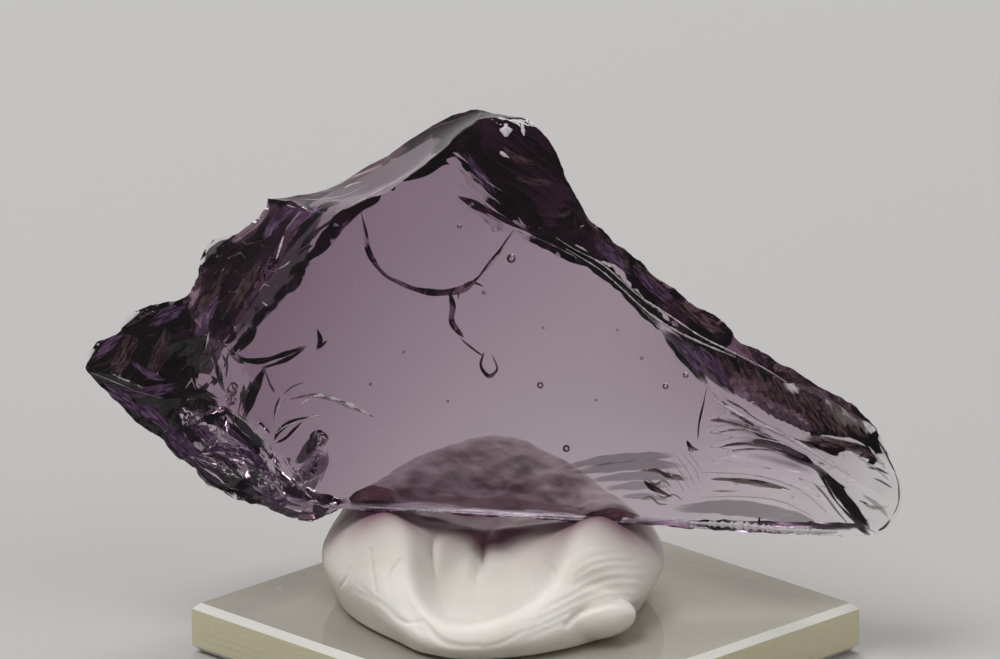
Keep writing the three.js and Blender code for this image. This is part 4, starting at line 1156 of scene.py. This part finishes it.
# putty
putty = {
    "centre": (-3.5, 2),  # mm, on the base
    "gap": 0.3,  # under the sole
    "middleHeight": 7.4,  # under the crystal
    "voxel": 0.22,  # mm
    "smoothing": 6,
    "azimuths": 480,
    "steps": 150,
    "colour": (0.89, 0.85, 0.8),
    "shade": (0.79, 0.745, 0.685),
    "stain": (0.2, 0.075, 0.11),  # painted shade: the violet-tinted shadow painted on it near and behind the glass
    "paintedShadeReach": 3.2,  # mm from the glass
    "paintedShadeBehind": (-2, 0),  # mm in depth, where it sets in
    "stainFront": (2, 5),  # mm in depth, where what is near the glass loses half of it
    "paintedShadeFacing": (0.3, -0.2),  # how far a face may turn away
    "paintedShadeMiddle": -4.9,  # mm across, the middle of the mound
    "paintedShadeWidth": (11.5, 7.5),  # mm to the side of that middle
    "paintedShadeLevel": (17.8, 16.2),  # mm up, where it runs out
    "moundDepth": (-1, 3),  # mm, between which the lumps set in
    "moundLevel": (12, 15),
    "lumpScale": 0.2,
    "lumpHeight": 0.55,
}

# by direction in degrees, 0 to the right and -90 to the front: hollow, ridge, fattest place and sole, as
# reach and height in mm
puttyOutline = [
    (-180, (8, 8.6), (13.4, 10.2), (18.4, 5), 16.6),
    (-165, (8.4, 8.8), (13, 10.7), (18.3, 5.2), 16.8),
    (-152, (8.6, 8.9), (12.7, 10.8), (18.2, 5.2), 17),
    (-140, (8.6, 8.1), (12.8, 10), (18.2, 5), 17.4),
    (-131, (9.2, 6.6), (14, 8.4), (18.7, 4.2), 17.9),
    (-123, (11, 4.6), (16.4, 6.2), (19.6, 3), 18.6),
    (-113, (13.2, 3), (19, 4.1), (21, 2), 20),
    (-101, (14.4, 2.4), (20.4, 3.2), (22, 1.6), 21.2),
    (-82, (12.4, 3), (18.8, 4.3), (21.2, 1.9), 20.4),
    (-68, (10.6, 4.4), (16.6, 5.9), (20.2, 2.3), 19.5),
    (-55, (9, 6.2), (14.4, 7.9), (19.4, 2.8), 18.7),
    (-42, (8, 7.8), (13, 9.6), (18.9, 3.8), 17.6),
    (-30, (7.7, 8.6), (12.7, 10.4), (18.6, 4.6), 16.8),
    (-12, (7.5, 8.7), (12.9, 10.2), (18.5, 4.8), 16.5),
    (0, (7.5, 8.4), (13.2, 9.8), (18.4, 4.8), 16.4),
    (45, (7.5, 9), (14, 11), (18.4, 5), 16.5),
    (90, (8, 11), (14.5, 14), (20, 5.5), 18.3),
    (135, (7.5, 9.6), (14, 12), (18.2, 5.2), 16.2),
]

# pressed lines, in mm from the base's middle
puttyGrooves = [
    {"path": [(-9.8, -0.5), (-9.9, -4), (-9.8, -7.4)], "width": 0.55, "depth": 0.7},
    {"path": [(-4.8, 1), (-4.9, -2.4), (-5.6, -6.4)], "width": 0.7, "depth": 1},
    {"path": [(-13.2, -13), (-11.4, -16.6), (-9.8, -18.6)], "width": 0.5, "depth": 0.5},
    {"path": [(4.6, -12.4), (8.6, -10.4), (13, -9.6)], "width": 0.8, "depth": 0.9},
]
tongue = {"middle": (7.3, -12, 2.3), "radii": (4.7, 3.1, 2.3), "turn": 22}


def outlineRow(i):  # the rows go round and round
    turn, hollow, ridge, bulge, sole = puttyOutline[i % len(puttyOutline)]
    return turn + 360 * (i // len(puttyOutline)), np.array([*hollow, *ridge, *bulge, sole])


def outlineAt(degrees):  # a smooth curve through the rows
    i = max(k for k in range(len(puttyOutline)) if puttyOutline[k][0] <= degrees)
    (t0, before), (t1, here), (t2, there), (t3, after) = (outlineRow(k) for k in range(i - 1, i + 3))
    s = (degrees - t1) / (t2 - t1)
    slopeHere = (there - before) * (t2 - t1) / (t2 - t0)
    slopeThere = (after - here) * (t2 - t1) / (t3 - t1)
    held = here * (1 + 2 * s) * (1 - s) ** 2 + there * s * s * (3 - 2 * s)
    values = held + slopeHere * s * (1 - s) ** 2 + slopeThere * s * s * (s - 1)
    return Vector(values[0:2]), Vector(values[2:4]), Vector(values[4:6]), values[6]


def grooveDepth(x, y):
    total = 0
    spot = Vector((x, y))
    for groove in puttyGrooves:
        path = [Vector(p) for p in groove["path"]]
        nearest = 1e9
        reach = sum((b - a).length for a, b in zip(path, path[1:]))
        gone, place = 0, 0
        for a, b in zip(path, path[1:]):
            edge = b - a
            share = clamp((spot - a).dot(edge) / edge.length_squared)
            gap = (a + edge * share - spot).length
            if gap < nearest:
                nearest, place = gap, gone + edge.length * share
            gone += edge.length
        total += groove["depth"] * taper(place / reach, 0.08) * math.exp(-((nearest / groove["width"]) ** 2))
    return total


def puttyPoints():
    middle = putty["middleHeight"]
    centre = putty["centre"]
    points = [(*centre, middle)]
    profiles = []
    for k in range(putty["azimuths"]):
        degrees = -180 + 360 * k / putty["azimuths"]
        hollow, ridge, bulge, sole = outlineAt(degrees)
        profiles.append([Vector((0, middle)), hollow, ridge, bulge, Vector((sole, 0))])
    for step in range(1, putty["steps"] + 1):
        for k, profile in enumerate(profiles):
            spot = curvePoint(profile, step / putty["steps"])
            angle = 2 * math.pi * k / putty["azimuths"] - math.pi
            x, y = centre[0] + spot.x * math.cos(angle), centre[1] + spot.x * math.sin(angle)
            points.append((x, y, max(spot.y - grooveDepth(x, y), 0) if step < putty["steps"] else 0))
    return points


def buildPutty():
    points = puttyPoints()
    ring = putty["azimuths"]
    faces = []
    for k in range(ring):
        following = (k + 1) % ring
        faces.append((0, 1 + k, 1 + following))
        for step in range(1, putty["steps"]):
            a, b = 1 + (step - 1) * ring + k, 1 + (step - 1) * ring + following
            faces.append((a, a + ring, b + ring, b))
    last = 1 + (putty["steps"] - 1) * ring
    faces.append([last + k for k in reversed(range(ring))])
    obj = meshObject("mountingPutty", points, faces)
    obj.data.transform(Matrix.Translation((0, 0, plateTop + putty["gap"] * mm)) @ Matrix.Scale(mm, 4))
    return obj


def roughenMound(obj):  # lumps where the putty climbs behind the glass
    spots, normals = pointArray(obj.data, "co"), pointArray(obj.data, "normal")
    share = 1
    for axis, (start, end) in ((1, putty["moundDepth"]), (2, putty["moundLevel"])):
        share = share * np.clip((spots[:, axis] / mm - start) / (end - start), 0, 1)
    for i in np.nonzero(share)[0]:
        lump = noise.fractal(Vector(spots[i]) / mm * putty["lumpScale"], 1, 2, 5)
        spots[i] += normals[i] * (putty["lumpHeight"] * share[i] * lump * mm)
    movePoints(obj.data, spots)


def buildTongue():  # the flap of putty folded out at the lower right
    bpy.ops.mesh.primitive_uv_sphere_add(segments=96, ring_count=64, radius=1)
    obj = bpy.context.object
    x, y, z = tongue["middle"]
    spread = Matrix.Diagonal((*tongue["radii"], 1))
    turn = Matrix.Rotation(math.radians(tongue["turn"]), 4, "Z")
    obj.data.transform(Matrix.Scale(mm, 4) @ Matrix.Translation((x, y, z)) @ turn @ spread)
    for vertex in obj.data.vertices:
        vertex.co.z = max(vertex.co.z, 0) + plateTop + putty["gap"] * mm
    return obj


def applySteps(obj):  # turns the modifiers into plain mesh
    bpy.context.view_layer.update()
    result = bpy.data.meshes.new_from_object(obj.evaluated_get(bpy.context.evaluated_depsgraph_get()))
    obj.modifiers.clear()
    obj.data = result


def combine(obj, other, operation):
    step = obj.modifiers.new("combine", "BOOLEAN")
    step.operation = operation
    step.solver = "EXACT"
    step.object = other
    applySteps(obj)


def soften(obj):  # runs the flap and the body together
    remesh = obj.modifiers.new("remesh", "REMESH")
    remesh.mode = "VOXEL"
    remesh.voxel_size = putty["voxel"] * mm
    smooth = obj.modifiers.new("smooth", "SMOOTH")
    smooth.iterations = putty["smoothing"]
    applySteps(obj)
    for face in obj.data.polygons:
        face.use_smooth = True


# shallow lines and folds in the putty: width and depth in mm, then pixels of the finished picture
puttyMarks = [
    (0.22, 0.35, [(435, 534), (433, 552), (436, 574)]),
    (0.22, 0.35, [(482, 538), (482, 556), (477, 580)]),
    (0.2, 0.3, [(371, 548), (372, 562), (374, 578), (377, 592)]),
    (0.2, 0.3, [(402, 558), (395, 566), (391, 578), (390, 590)]),
    (0.18, 0.22, [(350, 566), (347, 576), (341, 586)]),
    (0.25, 0.1, [(352, 588), (366, 594), (378, 600), (392, 606)]),
    (0.25, 0.1, [(356, 580), (368, 590), (384, 603), (398, 612)]),
    (0.3, 0.2, [(390, 608), (398, 616), (408, 620), (418, 620)]),
    (0.35, 0.08, [(628, 552), (606, 553), (588, 557), (572, 566)]),
    (0.3, 0.1, [(632, 560), (610, 560), (592, 564), (576, 573)]),
    (0.4, 0.09, [(636, 568), (614, 568), (594, 572), (574, 583)]),
    (0.35, 0.12, [(640, 578), (616, 577), (594, 582), (566, 596), (545, 606)]),
    (0.45, 0.1, [(636, 587), (612, 587), (588, 594), (560, 607), (538, 618)]),
    (0.35, 0.11, [(628, 595), (606, 596), (580, 605), (552, 618), (530, 628)]),
    (0.4, 0.09, [(600, 603), (576, 613), (548, 626), (524, 636)]),
    (0.3, 0.14, [(590, 545), (572, 550), (560, 558)]),
    (0.5, 0.35, [(566, 622), (578, 611), (598, 603), (618, 600), (634, 606)]),
    (0.4, 0.25, [(424, 618), (432, 628), (440, 636), (456, 642), (480, 643)]),
    (0.3, 0.12, [(470, 646), (500, 640), (524, 628)]),
    (0.3, 0.1, [(540, 560), (550, 566), (556, 575)]),
]


def markPutty(obj):  # sinks the marks into the faces that look at the camera
    spots, normals = pointArray(obj.data, "co"), pointArray(obj.data, "normal")
    up = np.array([0, math.sin(leanAngle), math.cos(leanAngle)])
    back = np.array([0, -math.cos(leanAngle), math.sin(leanAngle)])
    seen = np.stack([spots[:, 0], (spots - [0, 0, plateTop]) @ up], 1) / mm
    facing = np.clip(normals @ back * 3, 0, 1)
    sink = np.zeros(len(spots))
    steps = 24
    for width, depth, pixels in puttyMarks:
        path = [fromPicture(*p) for p in pixels]
        line = np.array([curvePoint(path, i / steps)[:] for i in range(steps + 1)])
        near = np.full(len(spots), 1e9)
        share = np.zeros(len(spots))
        for i, (a, b) in enumerate(zip(line, line[1:])):
            edge = b - a
            along = np.clip((seen - a) @ edge / (edge @ edge), 0, 1)
            gap = np.linalg.norm(seen - a - along[:, None] * edge, axis=1)
            closer = gap < near
            near[closer] = gap[closer]
            share[closer] = (i + along[closer]) / steps
        fade = np.sin(math.pi * np.clip(share, 0.1, 0.9)) ** 0.5
        trough, lip = np.exp(-(near / width) ** 2), np.exp(-((near / width - 1.7) ** 2))
        sink = np.maximum(sink, depth * fade * trough - depth * 0.25 * lip)
    spots -= normals * (sink * facing * mm)[:, None]
    movePoints(obj.data, spots)


def writePaintedShade(obj):  # how strongly each point of the putty gets the painted violet shade, near the glass and low on the mound behind it
    glass = BVHTree.FromPolygons([v.co for v in crystalObject.data.vertices],
                                 [tuple(face.vertices) for face in crystalObject.data.polygons])
    values = []
    for vertex in obj.data.vertices:
        across, depth, height = (c / mm for c in vertex.co)
        distance = glass.find_nearest(vertex.co, 0.008)[3]
        # painted shade close to the glass
        near = 0 if distance is None else math.exp(-(distance / mm / putty["paintedShadeReach"]) ** 1.5)
        near *= 1 - 0.5 * ramp(depth, *putty["stainFront"])
        # painted shade low on the mound behind the glass
        level = height + 2.5 * noise.noise(vertex.co / mm * 0.3)
        middle = ramp(abs(across - putty["paintedShadeMiddle"]), *putty["paintedShadeWidth"])
        low = 0.45 + 0.55 * middle * ramp(level, *putty["paintedShadeLevel"])
        low *= ramp(depth, *putty["paintedShadeBehind"])
        low *= ramp(vertex.normal.y, *putty["paintedShadeFacing"])
        values.append(max(near, low))
    writeAttribute(obj.data, "stain", values)


def puttyMaterial():
    material, nodes, links, shader = newMaterial("kneadedPutty")
    tree = material.node_tree
    place = nodes.new("ShaderNodeTexCoord").outputs["Object"]
    patches = useGroup(material, grain, Place=place, Scale=140, Detail=6, Low=0.35, High=0.7)
    blend = mixColours(material, patches, putty["shade"], putty["colour"])
    # painted shade: mixes in the violet shadow colour where the glass would shade the putty
    share = mathNode(tree, "MULTIPLY", attribute(material, "stain").outputs["Fac"], 0.95)
    links.new(mixColours(material, share, blend, putty["stain"]), shader.inputs["Base Color"])
    shader.inputs["Roughness"].default_value = 0.55
    shader.inputs["Subsurface Weight"].default_value = 0.15
    shader.inputs["Subsurface Radius"].default_value = (0.0012, 0.0008, 0.0005)
    pores = useGroup(material, grain, Place=place, Scale=1800, Detail=3, Low=0.3, High=0.75)
    along = compareTo(material, "DOT_PRODUCT", place, (0.4, 0.1, 0.9))
    skin = useGroup(material, lines, Along=along, Place=place, Spacing=0.0009, Wobble=2.5, Wander=220,
                    Sharpness=3)
    fine = mathNode(tree, "MULTIPLY_ADD", mathNode(tree, "MULTIPLY", skin, patches), 0.7, pores)
    addBump(material, fine, 0.35, 0.00006)
    return material


puttyObject = buildPutty()
tongueObject = buildTongue()
combine(puttyObject, tongueObject, "UNION")
bpy.data.objects.remove(tongueObject)
roughenMound(puttyObject)
soften(puttyObject)
combine(puttyObject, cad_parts["andara_crystal"], "DIFFERENCE")
markPutty(puttyObject)
writePaintedShade(puttyObject)
puttyObject.data.materials.append(puttyMaterial())
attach(puttyObject, "root")
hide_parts("mounting_putty")
print("putty built:", len(puttyObject.data.polygons), "faces")


# acrylic base
acrylic = {
    "ior": 1.49,
    "absorbPerMetre": (1, 2, 9),
    "absorbDensity": 20,
    # face: partly a milky tint, partly brightened in place of light coming back from under the plate
    "face": {"colour": (1, 0.95, 0.85), "clear": 0.7, "cloudScale": 90, "rough": (0.01, 0.06),
             "across": (0.6, 0.8, 0.2), "spacing": 0.004, "scratch": 0.15},
    # edge: sawn, frosted sides; their pale yellow is partly painted glow of light carried inside the plate
    "edge": {"colour": (1, 0.94, 0.66), "clear": 0.35, "cloudScale": 300, "rough": (0.08, 0.3),
             "across": (0.1, 0.1, 1), "spacing": 0.0008, "scratch": 0.4},
    # bevel: near-white, partly painted highlight along the bevels
    "bevel": {"colour": (1, 0.99, 0.92), "clear": 0.2, "cloudScale": 400, "rough": (0.1, 0.35),
              "across": (0.1, 0.1, 1), "spacing": 0.0008, "scratch": 0.4},
}


def acrylicMaterial(name, settings):
    material, nodes, links, shader = newMaterial(name)
    tree = material.node_tree
    shader.inputs["Base Color"].default_value = (*settings["colour"], 1)
    shader.inputs["IOR"].default_value = acrylic["ior"]
    shader.inputs["Transmission Weight"].default_value = settings["clear"]
    absorbInside(material, acrylic["absorbPerMetre"], acrylic["absorbDensity"])
    place = nodes.new("ShaderNodeTexCoord").outputs["Object"]
    cloud = useGroup(material, grain, Place=place, Scale=settings["cloudScale"], Detail=5, Low=0.35,
                     High=0.75)
    low, high = settings["rough"]
    links.new(mathNode(tree, "MULTIPLY_ADD", cloud, high - low, low), shader.inputs["Roughness"])
    along = compareTo(material, "DOT_PRODUCT", place, settings["across"])
    scratch = useGroup(material, lines, Along=along, Place=place, Spacing=settings["spacing"], Wobble=3,
                       Wander=60, Sharpness=6)
    addBump(material, mathNode(tree, "MULTIPLY", scratch, cloud), settings["scratch"], 0.00005)
    return material


def finishBase(obj):
    obj.data.materials.clear()
    for name, finish in (("clearAcrylic", "face"), ("sawnAcrylicGlow", "edge"), ("bevelledAcrylicSheen", "bevel")):
        obj.data.materials.append(acrylicMaterial(name, acrylic[finish]))
    for face in obj.data.polygons:
        level = abs(face.normal.z)
        face.material_index = 0 if level > 0.9 else 1 if level < 0.3 else 2


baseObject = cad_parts["acrylic_base"]
finishBase(baseObject)
print("base finished")


# studio
studio = {
    "floorColour": (0.43, 0.42, 0.413),
    "skyColour": (1, 0.985, 0.97),
    "skyBehind": 0.6,
    "skyElsewhere": 0.17,
    "lights": [
        {"name": "keySoftbox", "spot": (-0.5, -0.2, 1.15), "size": 0.7, "power": 9.7, "mirrored": False},
        {"name": "fillSoftbox", "spot": (0.7, -0.55, 0.9), "size": 0.8, "power": 2.8, "mirrored": False},
        {"name": "backLight", "spot": (0, 1.1, 1.5), "size": 1, "power": 26.5, "aim": (0, 1.6, 0)},
    ],
    "cameraDistance": 1.8,
    "sensorWidth": 36,
    "pictureWidth": 1000,
}


def buildFloor():
    gap = -0.0001  # just clear of the base
    points = [(-8, -8, gap), (8, -8, gap), (8, 8, gap), (-8, 8, gap)]
    floor = meshObject("studioFloor", points, [(0, 1, 2, 3)])
    material, _, _, shader = newMaterial("paleFloor")
    shader.inputs["Base Color"].default_value = (*studio["floorColour"], 1)
    shader.inputs["Roughness"].default_value = 0.95
    floor.data.materials.append(material)


def buildSky():  # bright low behind the piece, dim elsewhere
    world = bpy.data.worlds.new("studioSky")
    bpy.context.scene.world = world
    world.use_nodes = True
    tree = world.node_tree
    split = tree.nodes.new("ShaderNodeSeparateXYZ")
    tree.links.new(tree.nodes.new("ShaderNodeTexCoord").outputs["Generated"], split.inputs[0])
    behind = rangeNode(tree, split.outputs["Y"], {"From Min": -0.1, "From Max": 0.8})
    low = rangeNode(tree, split.outputs["Z"], {"From Min": 0.75, "From Max": 0.15})
    share = mathNode(tree, "MULTIPLY", behind, low)
    level = rangeNode(tree, share, {"To Min": studio["skyElsewhere"], "To Max": studio["skyBehind"]})
    background = tree.nodes["Background"]
    tree.links.new(level, background.inputs["Strength"])
    background.inputs["Color"].default_value = (*studio["skyColour"], 1)


def buildLights():
    for settings in studio["lights"]:
        lamp = bpy.data.lights.new(settings["name"], "AREA")
        lamp.energy = settings["power"]
        lamp.size = settings["size"]
        obj = linkObject(settings["name"], lamp)
        obj.location = settings["spot"]
        obj.visible_glossy = obj.visible_transmission = settings.get("mirrored", True)
        aim = Vector(settings.get("aim", (0, 0, 0.03))) - obj.location
        obj.rotation_euler = aim.to_track_quat("-Z", "Y").to_euler()


def buildCamera():
    lens = bpy.data.cameras.new("studioCamera")
    obj = linkObject("studioCamera", lens)
    lens.sensor_width = studio["sensorWidth"]
    lens.lens = studio["cameraDistance"] / pixelSize * studio["sensorWidth"] / studio["pictureWidth"]
    lens.clip_start = 0.05
    lens.clip_end = 50
    back = Vector((0, -math.cos(leanAngle), math.sin(leanAngle)))
    up = Vector((0, math.sin(leanAngle), math.cos(leanAngle)))
    aside = (frameMiddle[0] - plateMiddle[0]) * pixelSize
    above = (plateMiddle[1] - frameMiddle[1]) * pixelSize
    middle = Vector((0, 0, plateTop)) + Vector((aside, 0, 0)) + up * above
    obj.location = middle + back * studio["cameraDistance"]
    obj.rotation_euler = (-back).to_track_quat("-Z", "Y").to_euler()
    bpy.context.scene.camera = obj


buildFloor()
buildSky()
buildLights()
buildCamera()
scene = bpy.context.scene
scene.view_settings.view_transform = "Standard"
scene.cycles.max_bounces = 24
scene.cycles.transmission_bounces = 20
scene.cycles.glossy_bounces = 10
scene.cycles.transparent_max_bounces = 24
print("studio built")
